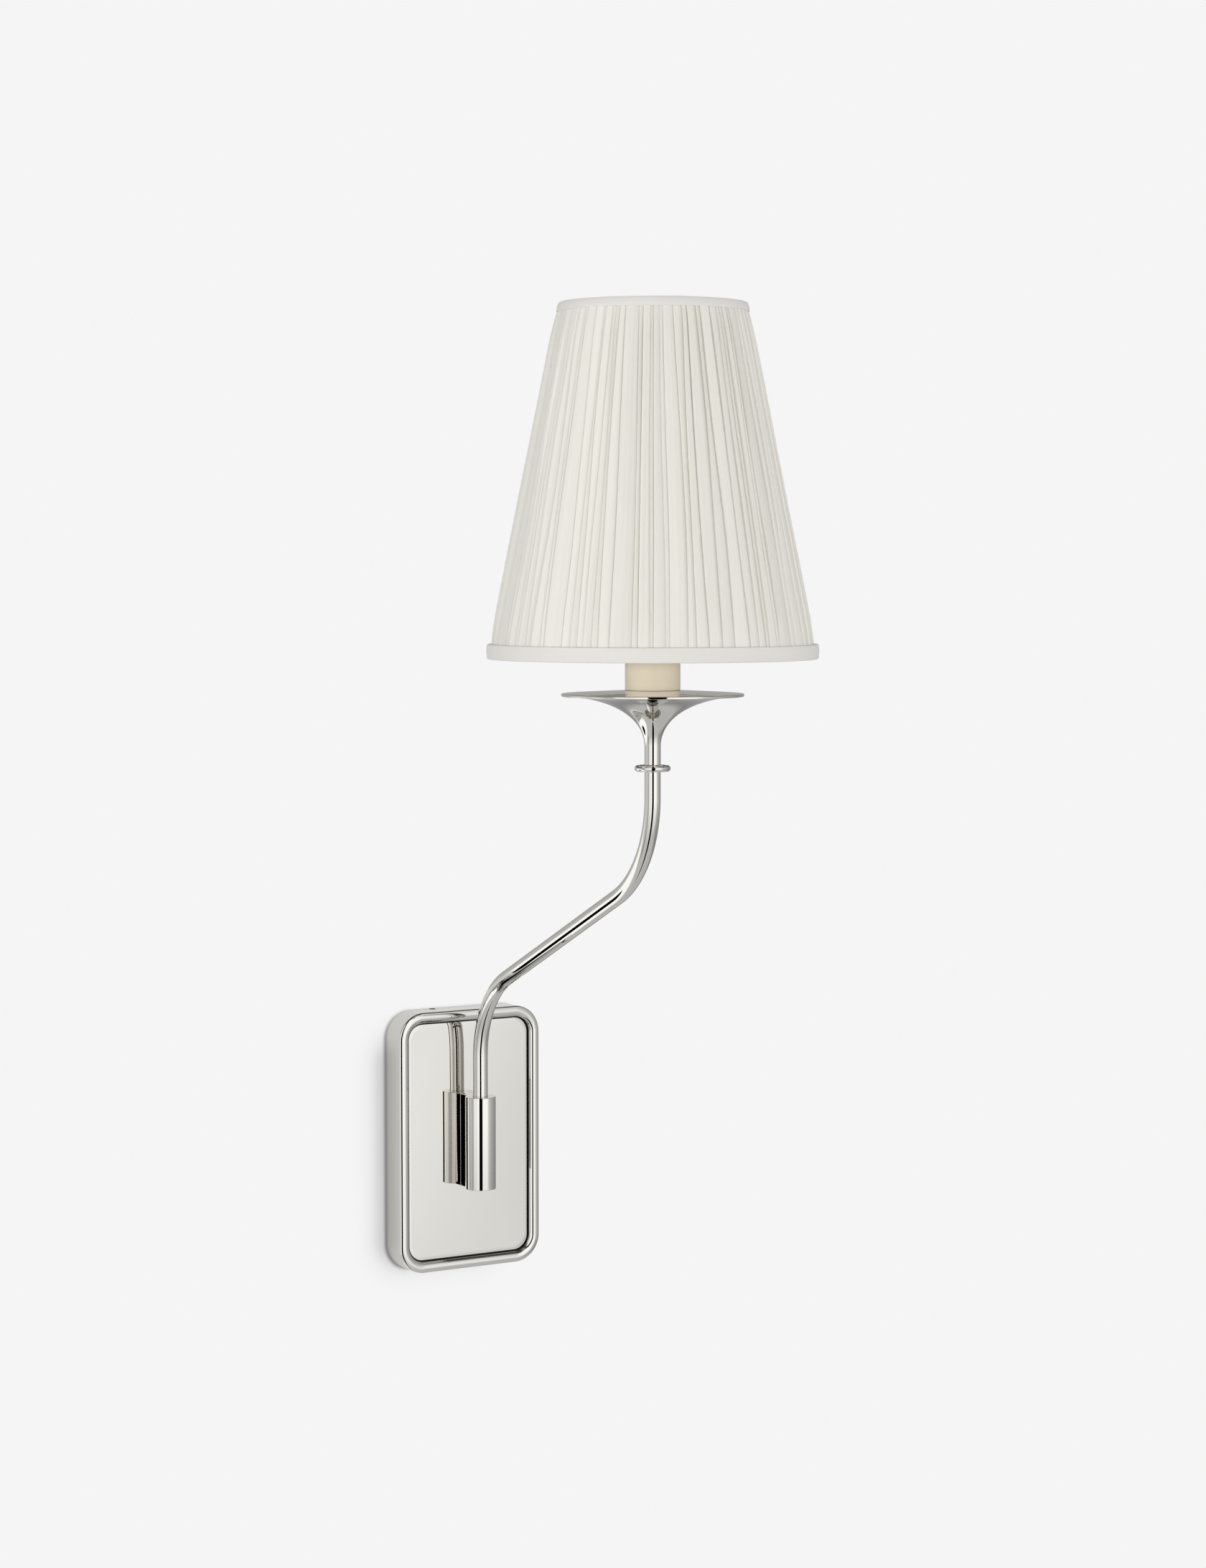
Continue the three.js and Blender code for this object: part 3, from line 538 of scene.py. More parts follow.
# pivot barrel, its plug let into the bottom
barrel = turned("swivel_barrel", rounded([
    (TUBE_R + 0.3, BARREL_TOP, 0.25), (TUBE_R + 0.3, 26.7, 0.2), (BORE_R, 26.7, 0.3), (BORE_R, BARREL_BOT, 0.2),
    (BARREL_R, BARREL_BOT, 0.35), (BARREL_R, BARREL_TOP, 0.4)], step=12), 128, 0, PIVOT_D, sharp=40)
finish_piece(barrel, NICKEL, "wall_mount", "pivot_barrel")
plug = turned("swivel_plug", rounded([
    (0, BARREL_BOT + 0.9), (1.9, BARREL_BOT + 0.9, 0.2), (2.6, BARREL_BOT + 0.2, 0.2), (BORE_R - 0.3, BARREL_BOT + 0.2, 0.35),
    (BORE_R - 0.3, BARREL_BOT + 5.0, 0.3), (0, BARREL_BOT + 5.0)], step=15, closed=False), 96, 0, PIVOT_D, closed=False, sharp=40)
finish_piece(plug, NICKEL, "wall_mount", "barrel_plug")

# saddle block between panel and barrel, as tall as the barrel and hollowed round its back
sec = [(-SADDLE_W / 2, PANEL_D + 0.28, 0.2)]
hw = SADDLE_W / 2
rr_ = BARREL_R + 0.1
sec += [(hw, PANEL_D + 0.28, 0.2), (hw, PIVOT_D - math.sqrt(rr_ ** 2 - hw ** 2), 0.12)]
for k in range(1, 24):
    x_ = hw - 2 * hw * k / 24
    sec.append((x_, PIVOT_D - math.sqrt(rr_ ** 2 - x_ ** 2)))
sec.append((-hw, PIVOT_D - math.sqrt(rr_ ** 2 - hw ** 2), 0.12))
sec = rounded(sec, step=15)
mid = (0.0, 21.0)
loops = []
for z_, inset in ((BARREL_BOT + 0.02, 0.3), (BARREL_BOT + 0.10, 0.12), (BARREL_BOT + 0.32, 0.0), (0.0, 0.0), (BARREL_TOP - 0.32, 0.0), (BARREL_TOP - 0.10, 0.12), (BARREL_TOP - 0.02, 0.3)):
    loops.append([(x_ - math.copysign(min(abs(x_), inset), x_), -(d_ + (inset * 0.3 if d_ < 18 else 0.0)), z_) for x_, d_ in sec])
spacer = lofted("saddle_block", loops, closed_path=False, cap=True, sharp=40)
finish_piece(spacer, NICKEL, "wall_mount", "pivot_spacer")

# ---------------------------------------------------------------- arm
ANGLE = math.radians(64.74)
REACH, B1_Z, B1_R, B2_R = 203.6, 55.2, 59.3, 67.9
b1d, b1z = PIVOT_D + B1_R * (1 - math.cos(ANGLE)), B1_Z + B1_R * math.sin(ANGLE)
slant = (REACH - (B1_R + B2_R) * (1 - math.cos(ANGLE))) / math.sin(ANGLE)
b2d, b2z = b1d + slant * math.sin(ANGLE), b1z + slant * math.cos(ANGLE)
b2_end = b2z + B2_R * math.sin(ANGLE)


def arm_line(z_low, z_high, bend=56, runs=8):
    pts, tans = [], []

    def put(d, z, a):
        pts.append((0.0, -d, z))
        tans.append((0.0, -math.sin(a), math.cos(a)))

    for k in range(runs):
        put(PIVOT_D, z_low + (B1_Z - z_low) * k / runs, 0)
    for k in range(bend + 1):
        a = ANGLE * k / bend
        put(PIVOT_D + B1_R * (1 - math.cos(a)), B1_Z + B1_R * math.sin(a), a)
    for k in range(1, runs):
        put(b1d + (b2d - b1d) * k / runs, b1z + (b2z - b1z) * k / runs, ANGLE)
    for k in range(bend + 1):
        a = ANGLE * (bend - k) / bend
        put(LAMP_D - B2_R * (1 - math.cos(a)), b2_end - B2_R * math.sin(a), a)
    for k in range(1, runs + 1):
        put(LAMP_D, b2_end + (z_high - b2_end) * k / runs, 0)
    return pts, tans


pts, tans = arm_line(8.5, 251.0)
tube = swept("bent_arm", pts, tans, TUBE_R, 3.55, sides=64)
finish_piece(tube, NICKEL, "arm", "arm_tube")

# collar ring: a full round bead on a thin web
prof = [(TUBE_R + 0.02, 248.6)]
rb, rc = 1.85, 8.75
for k in range(41):
    a = -math.pi + 0.45 + k / 40 * (2 * math.pi - 0.9)
    prof.append((rc + rb * math.cos(a), 249.4 + rb * math.sin(a)))
prof.append((TUBE_R + 0.02, 250.2))
ring = turned("arm_collar", prof, 120, 0, LAMP_D, sharp=40)
finish_piece(ring, NICKEL, "arm", "collar_ring")

# trumpet
outer = [(4.80, 251.6), (4.80, 254.0), (4.80, 258.0)]
A, B, C, D = (4.80, 262.0), (4.80, 286.0), (40.0, 291.24), (48.0, 291.4)
for k in range(61):
    t = k / 60
    outer.append(tuple((1 - t) ** 3 * a + 3 * (1 - t) ** 2 * t * b + 3 * (1 - t) * t * t * c + t ** 3 * d for a, b, c, d in zip(A, B, C, D)))
o = np.array(outer)
tang = np.gradient(o, axis=0)
nrm = np.stack([-tang[:, 1], tang[:, 0]], 1)
nrm /= np.linalg.norm(nrm, axis=1)[:, None]
inner = [(max(3.55, r), z) for r, z in (o + nrm * 0.85)[::-1] if z < 291.2]
inner = [(45.5, 291.4)] + inner + [(3.55, 251.6)]
trumpet = turned("flared_cup", outer + inner, 144, 0, LAMP_D, sharp=40)
finish_piece(trumpet, NICKEL, "arm", "trumpet")

# drip pan
pan = turned("pan_disc", rounded([
    (5.3, 291.58), (53.5, 291.58, 0.45), (53.5, 293.15, 0.45), (16.9, 295.12, 2.0), (5.3, 295.15)], step=12), 160, 0, LAMP_D, sharp=40)
finish_piece(pan, NICKEL, "arm", "drip_pan")

# candle sleeve
sleeve = turned("card_sleeve", rounded([
    (14.9, 295.2, 0.2), (16.2, 295.2, 0.3), (16.2, 346.0, 0.45), (14.9, 346.0, 0.45)], step=15), 96, 0, LAMP_D, sharp=50)
finish_piece(sleeve, IVORY, "arm", "candle_sleeve")

# ---------------------------------------------------------------- lamp and carrier
bulb_pts = [(12.1, 341.9), (12.1, 346.0), (12.3, 350.6), (13.9, 355.4), (17.2, 361.5), (21.2, 369.0), (25.4, 377.5), (28.6, 387.0), (30.0, 398.0), (28.9, 408.0), (25.2, 417.0), (19.4, 423.6), (12.0, 427.4), (5.0, 428.5), (0, 428.6)]
bp = np.array(bulb_pts)
chord = np.r_[0, np.cumsum(np.linalg.norm(np.diff(bp, axis=0), axis=1))]
fine = np.linspace(0, chord[-1], 90)
kernel = np.exp(-0.5 * (np.arange(-6, 7) / 2.5) ** 2)
kernel /= kernel.sum()
br, bz = np.interp(fine, chord, bp[:, 0]), np.interp(fine, chord, bp[:, 1])
br_s = np.convolve(np.r_[np.full(6, br[0]), br, -br[-2:-8:-1]], kernel, "valid")
bz_s = np.convolve(np.r_[2 * bz[0] - bz[6:0:-1], bz, bz[-2:-8:-1]], kernel, "valid")
br_s[-1] = 0.0
outer_b = [(max(0.0, a), b) for a, b in zip(br_s, bz_s)]
inner_b = [(0, 427.5)] + [(max(0.0, a - 0.9), min(b, 427.4)) for a, b in outer_b[::-1] if a > 2.0]
bulb = turned("lamp_envelope", outer_b + inner_b, 96, 0, LAMP_D, sharp=50)
finish_piece(bulb, OPAL, "arm", "bulb_glass")

# lamp cap with its rolled thread
prof = [(0, 315.0), (3.2, 315.0), (4.4, 315.9), (6.0, 317.4), (10.6, 319.6), (11.6, 320.6)]
for k in range(0, 101):
    z = 321.2 + 16.0 * k / 100
    prof.append((11.85 + 0.42 * math.sin(2 * math.pi * (z - 321.2) / 3.6), z))
prof += [(12.25, 338.2), (12.25, 341.5), (11.6, 341.5), (11.3, 322.2), (9.5, 320.4), (0, 318.5)]
cap = turned("lamp_cap", prof, 72, 0, LAMP_D, sharp=60)
finish_piece(cap, STEEL, "arm", "bulb_base")

fitter = turned("fitter_washer", rounded([(14.9, 348.0, 0.3), (19.4, 348.0, 0.4), (19.4, 349.4, 0.4), (14.9, 349.4, 0.3)], step=20), 96, 0, LAMP_D, sharp=50)
finish_piece(fitter, NICKEL_WIRE, "arm", "fitter_ring")

# ring nut with finger grips
verts, faces = [], []
prof = rounded([(14.75, 349.7, 0.2), (18.2, 349.7, 0.3), (18.2, 351.9, 0.3), (16.6, 352.9, 0.3), (14.75, 352.9, 0.2)], step=30)
loops = []
for k in range(192):
    a = 2 * math.pi * k / 192
    loop = []
    for r, z in prof:
        grip = 0.35 * (0.5 + 0.5 * math.cos(24 * a)) ** 2 if r > 17.0 else 0.0
        rr = r - grip
        loop.append((rr * math.cos(a), -LAMP_D + rr * math.sin(a), z))
    loops.append(loop)
nut = lofted("socket_nut", loops, sharp=50)
finish_piece(nut, PHENOLIC, "arm", "socket_ring_nut")

# shade wires
FT, GAP, LT, WR, RR = 2.2, 0.3, 0.6, 1.2, 1.0
low_z, top_z = 315.6, 517.0
low_r = shade_r(low_z) - FT - GAP - LT - GAP - WR
top_r = shade_r(top_z) - FT - GAP - LT - GAP - WR
for nm, rr, zz, nd in (("wire_ring_low", low_r, low_z, "shade_ring_bottom"), ("wire_ring_top", top_r, top_z, "shade_ring_top")):
    prof = [(rr + WR * math.cos(2 * math.pi * k / 20), zz + WR * math.sin(2 * math.pi * k / 20)) for k in range(20)]
    w = turned(nm, prof, 180, 0, LAMP_D, sharp=60)
    finish_piece(w, NICKEL_WIRE, "arm", nd)


def straight_rod(name, p, q, r, node_name, extra=0.0):
    p, q = Vector(p), Vector(q)
    t = (q - p).normalized()
    p, q = p - t * extra, q + t * extra
    n = 10
    points = [p.lerp(q, k / n) for k in range(n + 1)]
    side = (0, 0, 1) if abs(t.z) < 0.9 else (1, 0, 0)
    ob = swept(name, points, [t] * (n + 1), r, 0, sides=20, side=side, round_end=min(0.4, r * 0.4))
    finish_piece(ob, NICKEL_WIRE, "arm", node_name)


for i in range(3):
    a = -math.pi / 2 + i * 2 * math.pi / 3
    c, s = math.cos(a), math.sin(a)
    r0, r1 = 19.4 + 0.05, low_r - WR - 0.02
    straight_rod("spoke_%d" % (i + 1), (r0 * c, -LAMP_D + r0 * s, 348.55), (r1 * c, -LAMP_D + r1 * s, low_z + 0.4), 1.1, "shade_spoke_%d" % (i + 1))
for i in range(6):
    a = math.pi / 6 + i * math.pi / 3
    c, s = math.cos(a), math.sin(a)
    z0, z1 = low_z + WR + 0.05, top_z - WR - 0.05
    off = FT + GAP + LT + GAP + RR + 0.15
    r0, r1 = shade_r(z0) - off, shade_r(z1) - off
    straight_rod("rib_%d" % (i + 1), (r0 * c, -LAMP_D + r0 * s, z0), (r1 * c, -LAMP_D + r1 * s, z1), RR, "shade_rib_%d" % (i + 1))

# ---------------------------------------------------------------- shade cloth
rng = np.random.default_rng(41)
BASE_R = shade_r(322.5)


def smooth_curve(n_knots, rows, lo, hi):
    """A gentle random curve over the height."""
    k = rng.uniform(lo, hi, n_knots)
    x = np.linspace(0, 1, n_knots)
    t = np.linspace(0, 1, rows)
    out = np.interp(t, x, k)
    w = np.hanning(max(3, rows // 5 * 2 + 1))
    w /= w.sum()
    pad = len(w) // 2
    return np.convolve(np.r_[np.full(pad, out[0]), out, np.full(pad, out[-1])], w, "valid")[:rows]


ROWS = 44
Z0, Z1 = 321.2, 515.8
t_rows = np.linspace(0, 1, ROWS)
z_rows = Z0 + (Z1 - Z0) * t_rows

# folds: each one rises sharply at its left edge and falls away to its right, into the crease of the next
total = 2 * math.pi * BASE_R
widths, wide = [], []
while sum(widths) < total:
    kind = rng.random()
    if kind < 0.27:
        widths.append(rng.uniform(2.2, 3.8))
    elif kind < 0.66:
        widths.append(rng.uniform(4.0, 8.0))
    else:
        widths.append(rng.uniform(8.0, 14.5))
widths = np.array(widths) * total / sum(widths)
N = len(widths)
edges = np.concatenate([[0], np.cumsum(widths)])[:-1] / total * 2 * math.pi
edge_curves = []
for i in range(N):
    w = min(widths[i], widths[i - 1]) / BASE_R
    lean = rng.normal(0, 0.16)
    edge_curves.append(edges[i] + w * (smooth_curve(4, ROWS, -0.24, 0.24) + lean * (t_rows - 0.5)))
edge_curves = np.array(edge_curves)
step = []
for i in range(N):
    base = rng.uniform(1.05, 1.60) + 0.05 * widths[i]
    if rng.random() < 0.26:
        base *= rng.uniform(0.2, 0.45)          # a soft fold with hardly an edge
    lo_, hi_ = (0.2, 1.3) if rng.random() < 0.5 else (0.7, 1.15)
    step.append(base * smooth_curve(5, ROWS, lo_, hi_))
step = np.array(step)
pinch = 0.42 + 0.58 * np.clip(np.minimum(t_rows, 1 - t_rows) / 0.09, 0, 1) ** 0.7
fall = rng.uniform(0.35, 2.2, N)
plateau = rng.random(N) < 0.3
tilt = rng.uniform(0.0, 1.0, N)
tone = rng.normal(0, 1.0, N)
phase = rng.uniform(0, 6.28, (N, 4))

cols = []
for i in range(N):
    cols += [(i, 0.0, 0), (i, 0.0, 1)]           # the crease, then the rounded lip above it
    n_u = max(4, int(round(widths[i] / 0.52)))
    cols += [(i, float(u), 2) for u in np.linspace(0, 1, n_u + 1)[1:-1]]
NC = len(cols)
# painted_crease_shade: painted shade for each point of the cloth, 0 in a crease, near 1 on the raised cloth
theta, height, painted_crease_shade = (np.zeros((NC, ROWS)) for _ in range(3))
fold_id = np.zeros(NC)
for c, (i, u, kind) in enumerate(cols):
    left = edge_curves[i]
    right = edge_curves[(i + 1) % N] + (2 * math.pi if i == N - 1 else 0)
    w_mm = widths[i]
    if kind == 0:
        theta[c] = left
        height[c] = 0.0
        painted_crease_shade[c] = 0.0
    elif kind == 1:
        theta[c] = left + 0.20 / BASE_R
        height[c] = step[i] * 0.84
        painted_crease_shade[c] = 0.85
    else:
        theta[c] = left + (right - left) * u
        s_mm = u * w_mm
        lip = 1 - math.exp(-s_mm / 0.5)
        fallen = (1 - u) ** fall[i]
        if plateau[i]:
            fallen = 0.30 + 0.70 / (1 + math.exp((u - 0.38) * 14))
        crease = 1 - math.exp(-(w_mm - s_mm) / 0.45)
        crown = 0.06 * w_mm * u * (1 - u) * (0.3 + tilt[i])
        rip = (0.07 * np.sin(s_mm * 1.7 + phase[i, 0] + 1.2 * np.sin(4 * t_rows + phase[i, 2]))
               + 0.045 * np.sin(s_mm * 3.6 + phase[i, 1] + 1.5 * np.sin(6 * t_rows + phase[i, 3])))
        height[c] = (step[i] * (0.84 + 0.16 * lip) * fallen + crown + rip + 0.25) * (0.25 + 0.75 * crease)
        painted_crease_shade[c] = np.clip(0.35 + 0.65 * height[c] / 1.1, 0, 1) * (0.35 + 0.65 * crease)
    fold_id[c] = i
height = np.clip(height, 0, None) * pinch[None, :]
peak = 2.2
height = np.where(height > 1.4, 1.4 + (peak - 1.4) * np.tanh((height - 1.4) / (peak - 1.4)), height)
base_r = shade_r(z_rows)[None, :] - FT
slope_r = base_r + 0.10 + height
near_edge = np.clip(np.minimum(t_rows, 1 - t_rows) / 0.035, 0, 1)
slope_r -= (1 - near_edge)[None, :] * 0.25
across = theta * BASE_R
verts, faces, att, shade_and_tone_att = [], [], [], []
for c in range(NC):
    tn = tone[int(fold_id[c])]
    for r in range(ROWS):
        a, rr = theta[c, r], slope_r[c, r]
        verts.append((rr * math.cos(a), -LAMP_D + rr * math.sin(a), z_rows[r]))
        att.append((across[c, r], z_rows[r], fold_id[c] * 0.37))
        shade_and_tone_att.append((painted_crease_shade[c, r], tn, 0.0))
inner_off = len(verts)
for c in range(NC):
    for r in (0, ROWS // 3, 2 * ROWS // 3, ROWS - 1):
        a = theta[c, r]
        rr = shade_r(z_rows[r]) - FT - 0.12
        verts.append((rr * math.cos(a), -LAMP_D + rr * math.sin(a), z_rows[r]))
        att.append((across[c, r], z_rows[r], 0.0))
        shade_and_tone_att.append((0.5, 0.0, 0.0))
for c in range(NC):
    e = (c + 1) % NC
    for r in range(ROWS - 1):
        faces.append((c * ROWS + r, e * ROWS + r, e * ROWS + r + 1, c * ROWS + r + 1))
    for r in range(3):
        a, b = inner_off + c * 4 + r, inner_off + e * 4 + r
        faces.append((a, a + 1, b + 1, b))
    faces.append((c * ROWS, inner_off + c * 4, inner_off + e * 4, e * ROWS))
    faces.append((c * ROWS + ROWS - 1, e * ROWS + ROWS - 1, inner_off + e * 4 + 3, inner_off + c * 4 + 3))
me = bpy.data.meshes.new("gathered_shade")
me.from_pydata([tuple(c * MM for c in v) for v in verts], [], faces)
me.validate()
me.shade_smooth()
me.set_sharp_from_angle(angle=math.radians(60))
shade = bpy.data.objects.new("gathered_shade", me)
scene.collection.objects.link(shade)
attribute3(shade, "cloth", att)
# the attribute 'fold' carries the painted crease shade and a random tone for each fold
attribute3(shade, "fold", shade_and_tone_att)
bm = bmesh.new()
bm.from_mesh(me)
if bm.calc_volume(signed=True) < 0:
    bmesh.ops.reverse_faces(bm, faces=bm.faces)
    bm.to_mesh(me)
half_area = sum(f.calc_area() for f in bm.faces) / 2
bm.free()
finish_piece(shade, FABRIC, "arm", "shade_fabric")


def band(name, section, mat, node_name, slot, segments=240, wobble=0.10, seed=3, lap=True):
    """A cloth binding: a closed section turned round the lamp axis, with slightly uneven edges."""
    g = np.random.default_rng(seed)
    ph = g.uniform(0, 6.28, 8)
    fr = [3, 5, 9, 14, 23, 37, 52, 71]
    loops, attr = [], []
    per = np.r_[0, np.cumsum([math.dist(section[i], section[(i + 1) % len(section)]) for i in range(len(section))])]
    r_mean = np.mean([p[0] for p in section])
    for k in range(segments):
        a = 2 * math.pi * k / segments
        wob = sum(math.sin(f * a + p) / (1 + 0.08 * f) for f, p in zip(fr, ph)) * wobble / 3
        wob2 = sum(math.cos(f * a + 1.7 * p) / (1 + 0.08 * f) for f, p in zip(fr, ph)) * wobble / 3
        loop = []
        for j, (r, z) in enumerate(section):
            rr, zz = r + wob * 0.6, z + wob2 * 0.5
            loop.append((rr * math.cos(a), -LAMP_D + rr * math.sin(a), zz))
            attr.append((per[j], a * r_mean, 0.0))
        loops.append(loop)
    ob = lofted(name, loops, sharp=60)
    return ob, attr


# bottom binding, folded over the edge
zb1 = 322.2
ri0, ri1 = shade_r(312.8) - FT + 0.1, shade_r(zb1) - FT + 0.1
sec = rounded([(ri0, 313.5, 0.3), (96.75, 313.5, 1.3), (97.2, 317.8, 9.0), (96.85, zb1, 0.9), (ri1, zb1, 0.3)], step=12)
trim_b, at = band("bottom_binding", sec, TRIM, "trim_bottom", "trim_cloth", seed=5)
attribute3(trim_b, "cloth", at)
finish_piece(trim_b, TRIM, "arm", "trim_bottom")
# top binding
zt0 = 514.75
ri, ri_t = shade_r(zt0) - FT + 0.1, shade_r(520.2) - FT + 0.1
sec = rounded([(ri, zt0, 0.2), (56.15, zt0, 0.45), (56.1, 516.7, 3.0), (55.5, 518.8, 2.0), (54.75, 520.1, 0.8), (ri_t - 0.05, 520.1, 0.2)], step=10)
trim_t, at = band("top_binding", sec, TRIM, "trim_top", "trim_cloth", wobble=0.07, seed=8)
attribute3(trim_t, "cloth", at)
finish_piece(trim_t, TRIM, "arm", "trim_top")

# lining: stretched between the rings, very slightly drawn in between the ribs
t0_, t1_ = FT + GAP, FT + GAP + LT
zl0, zl1 = 313.4, 519.6
loops, at = [], []
NL = 360
rows_l = 24
for k in range(NL):
    a = 2 * math.pi * k / NL
    rib = abs(((a - math.pi / 6) / (math.pi / 3) + 0.5) % 1 - 0.5) * 2      # 0 at a rib, 1 midway
    seam = 0.10 * math.exp(-((((a - math.pi / 6) / (math.pi / 3) + 0.5) % 1 - 0.5) / 0.012) ** 2)
    loop = []
    for j in range(rows_l + 1):
        z = zl0 + (zl1 - zl0) * j / rows_l
        pull = 0.18 * rib * math.sin(math.pi * j / rows_l)
        r = shade_r(z) - t1_ - pull - seam
        loop.append((r * math.cos(a), -LAMP_D + r * math.sin(a), z))
        at.append((a * 75.0, z, 0.0))
    for j in range(rows_l, -1, -1):
        z = zl0 + (zl1 - zl0) * j / rows_l
        r = shade_r(z) - t1_ + 0.42 - 0.18 * rib * math.sin(math.pi * j / rows_l)
        loop.append((r * math.cos(a), -LAMP_D + r * math.sin(a), z))
        at.append((a * 75.0, z, 0.0))
    loops.append(loop)
lining = lofted("inner_lining", loops, sharp=50)
attribute3(lining, "cloth", at)
finish_piece(lining, LINING, "arm", "shade_lining")

# ---------------------------------------------------------------- carried-over CAD nodes
for names, mat in (
    (("mounting_bracket", "backing_plate", "pivot_stud", "stud_washer", "stud_nut", "socket_nipple", "pan_nut"), ZINC),
    (("ground_screw", "arm_spindle", "thrust_washer", "arm_coupling", "socket_shell", "socket_contact"), BRASS),
    (("set_screw_top_left", "set_screw_top_right", "set_screw_bottom_left", "set_screw_bottom_right", "stud_lock_washer", "wave_washer", "pan_lock_washer"), STEEL),
    (("lower_bush", "upper_bush"), NYLON),
    (("stud_lead", "arm_lead"), INSULATION),
    (("wire_connector_left", "wire_connector_right"), CONNECTOR),
    (("socket_base_cap", "socket_body"), PHENOLIC),
):
    for nm in names:
        ob = NODES[nm]
        ob.data.materials.clear()
        ob.data.materials.append(mat)
for nm in ("mounting_bracket",):
    bev = NODES[nm].modifiers.new("edge", "BEVEL")
    bev.width, bev.segments, bev.limit_method, bev.angle_limit = 0.0002, 2, "ANGLE", math.radians(40)
    bev.harden_normals = False

# ---------------------------------------------------------------- studio
def stage_mesh(name, verts, faces):
    me = bpy.data.meshes.new(name)
    me.from_pydata(verts, [], faces)
    ob = bpy.data.objects.new(name, me)
    scene.collection.objects.link(ob)
    return ob


def emitter(name, colour, strength=1.0):
    m = bpy.data.materials.new(name)
    m.use_nodes = True
    nt = m.node_tree
    nt.nodes.clear()
    out = nt.nodes.new("ShaderNodeOutputMaterial")
    em = nt.nodes.new("ShaderNodeEmission")
    em.inputs["Color"].default_value = (*colour, 1)
    em.inputs["Strength"].default_value = strength
    return m, nt, em, out


# the wall, open behind the plate, seen only from the room's side
HOLE_X, HOLE_Z = 0.046, 0.078
S = 5.0
wall = stage_mesh("wall", [(-S, 0.0002, -1.3), (S, 0.0002, -1.3), (S, 0.0002, S), (-S, 0.0002, S),
                           (-HOLE_X, 0.0002, -HOLE_Z), (HOLE_X, 0.0002, -HOLE_Z), (HOLE_X, 0.0002, HOLE_Z), (-HOLE_X, 0.0002, HOLE_Z)],
                  [(0, 1, 5, 4), (1, 2, 6, 5), (2, 3, 7, 6), (3, 0, 4, 7)])


def outline_distance(nt, cx, cz, a, b, r):
    """Millimetres from the outline of a rounded rectangle on the wall, negative inside it."""
    pos = nt.nodes.new("ShaderNodeTexCoord")
    xyz = nt.nodes.new("ShaderNodeSeparateXYZ")
    nt.links.new(pos.outputs["Object"], xyz.inputs[0])
    qx = maths(nt, "SUBTRACT", maths(nt, "ABSOLUTE", maths(nt, "MULTIPLY_ADD", xyz.outputs[0], 1000.0, -cx)), a - r)
    qz = maths(nt, "SUBTRACT", maths(nt, "ABSOLUTE", maths(nt, "MULTIPLY_ADD", xyz.outputs[2], 1000.0, -cz)), b - r)
    ox, oz = maths(nt, "MAXIMUM", qx, 0.0), maths(nt, "MAXIMUM", qz, 0.0)
    out_ = maths(nt, "SQRT", maths(nt, "ADD", maths(nt, "MULTIPLY", ox, ox), maths(nt, "MULTIPLY", oz, oz)))
    in_ = maths(nt, "MINIMUM", maths(nt, "MAXIMUM", qx, qz), 0.0)
    return maths(nt, "SUBTRACT", maths(nt, "ADD", out_, in_), r)


def curve(nt, value, stops):
    """Piecewise-linear grey over a value, all stops from 0 to 1."""
    lo, hi = stops[0][0], stops[-1][0]
    f = ranged(nt, value, 0.0, 1.0, lo, hi)
    r = nt.nodes.new("ShaderNodeValToRGB")
    e = r.color_ramp.elements
    while len(e) > 1:
        e.remove(e[-1])
    for i, (p, g) in enumerate(stops):
        el_ = e[0] if i == 0 else e.new((p - lo) / (hi - lo))
        el_.position = (p - lo) / (hi - lo)
        el_.color = (g, g, g, 1)
    nt.links.new(f, r.inputs[0])
    return r.outputs["Color"]


def wall_shade(nt):
    """How much of the room's light the wall keeps beside the plate: a soft shadow to the left and a thin one at the contact."""
    soft = curve(nt, outline_distance(nt, -10.5, -7.0, 47.8, 76.7, 22.0), [(-8, 0.60), (-4, 0.69), (-1.5, 0.75), (0.5, 0.81), (2.5, 0.87), (6, 0.935), (10, 0.968), (14, 0.99), (18, 1.0)])
    tight = curve(nt, outline_distance(nt, -0.8, -0.55, PLATE_W / 2, PLATE_H / 2, PLATE_R), [(-0.8, 0.46), (-0.2, 0.62), (0.5, 0.84), (1.4, 0.97), (2.2, 1.0)])
    return maths(nt, "MULTIPLY", soft, tight)


m, nt, em, out = emitter("wall_paint", (0.9131, 0.9131, 0.9131))
nt.links.new(wall_shade(nt), em.inputs["Strength"])
geo = nt.nodes.new("ShaderNodeNewGeometry")
clear = nt.nodes.new("ShaderNodeBsdfTransparent")
mixs = nt.nodes.new("ShaderNodeMixShader")
nt.links.new(geo.outputs["Backfacing"], mixs.inputs[0])
nt.links.new(em.outputs[0], mixs.inputs[1])
nt.links.new(clear.outputs[0], mixs.inputs[2])
nt.links.new(mixs.outputs[0], out.inputs["Surface"])
wall.data.materials.append(m)
wall.visible_diffuse = wall.visible_glossy = wall.visible_shadow = wall.visible_transmission = False

# the strip of wall that the plate's own sides mirror
ring_v, ring_f = [], []
for j, grow in enumerate((-2.0, 4.0, 10.0, 18.0)):
    for s in STATIONS:
        x, _, z = station_point(s, -grow, 0)
        ring_v.append((x * MM, 0.0001, z * MM))
n_st = len(STATIONS)
for j in range(3):
    for k in range(n_st):
        l = (k + 1) % n_st
        ring_f.append((j * n_st + k, j * n_st + l, (j + 1) * n_st + l, (j + 1) * n_st + k))
near_wall = stage_mesh("near_wall", ring_v, ring_f)
m, nt, em, out = emitter("near_wall_paint", (0.74, 0.735, 0.72))
nt.links.new(wall_shade(nt), em.inputs["Strength"])
nt.links.new(em.outputs[0], out.inputs["Surface"])
near_wall.data.materials.append(m)
near_wall.visible_camera = near_wall.visible_diffuse = near_wall.visible_shadow = near_wall.visible_transmission = False

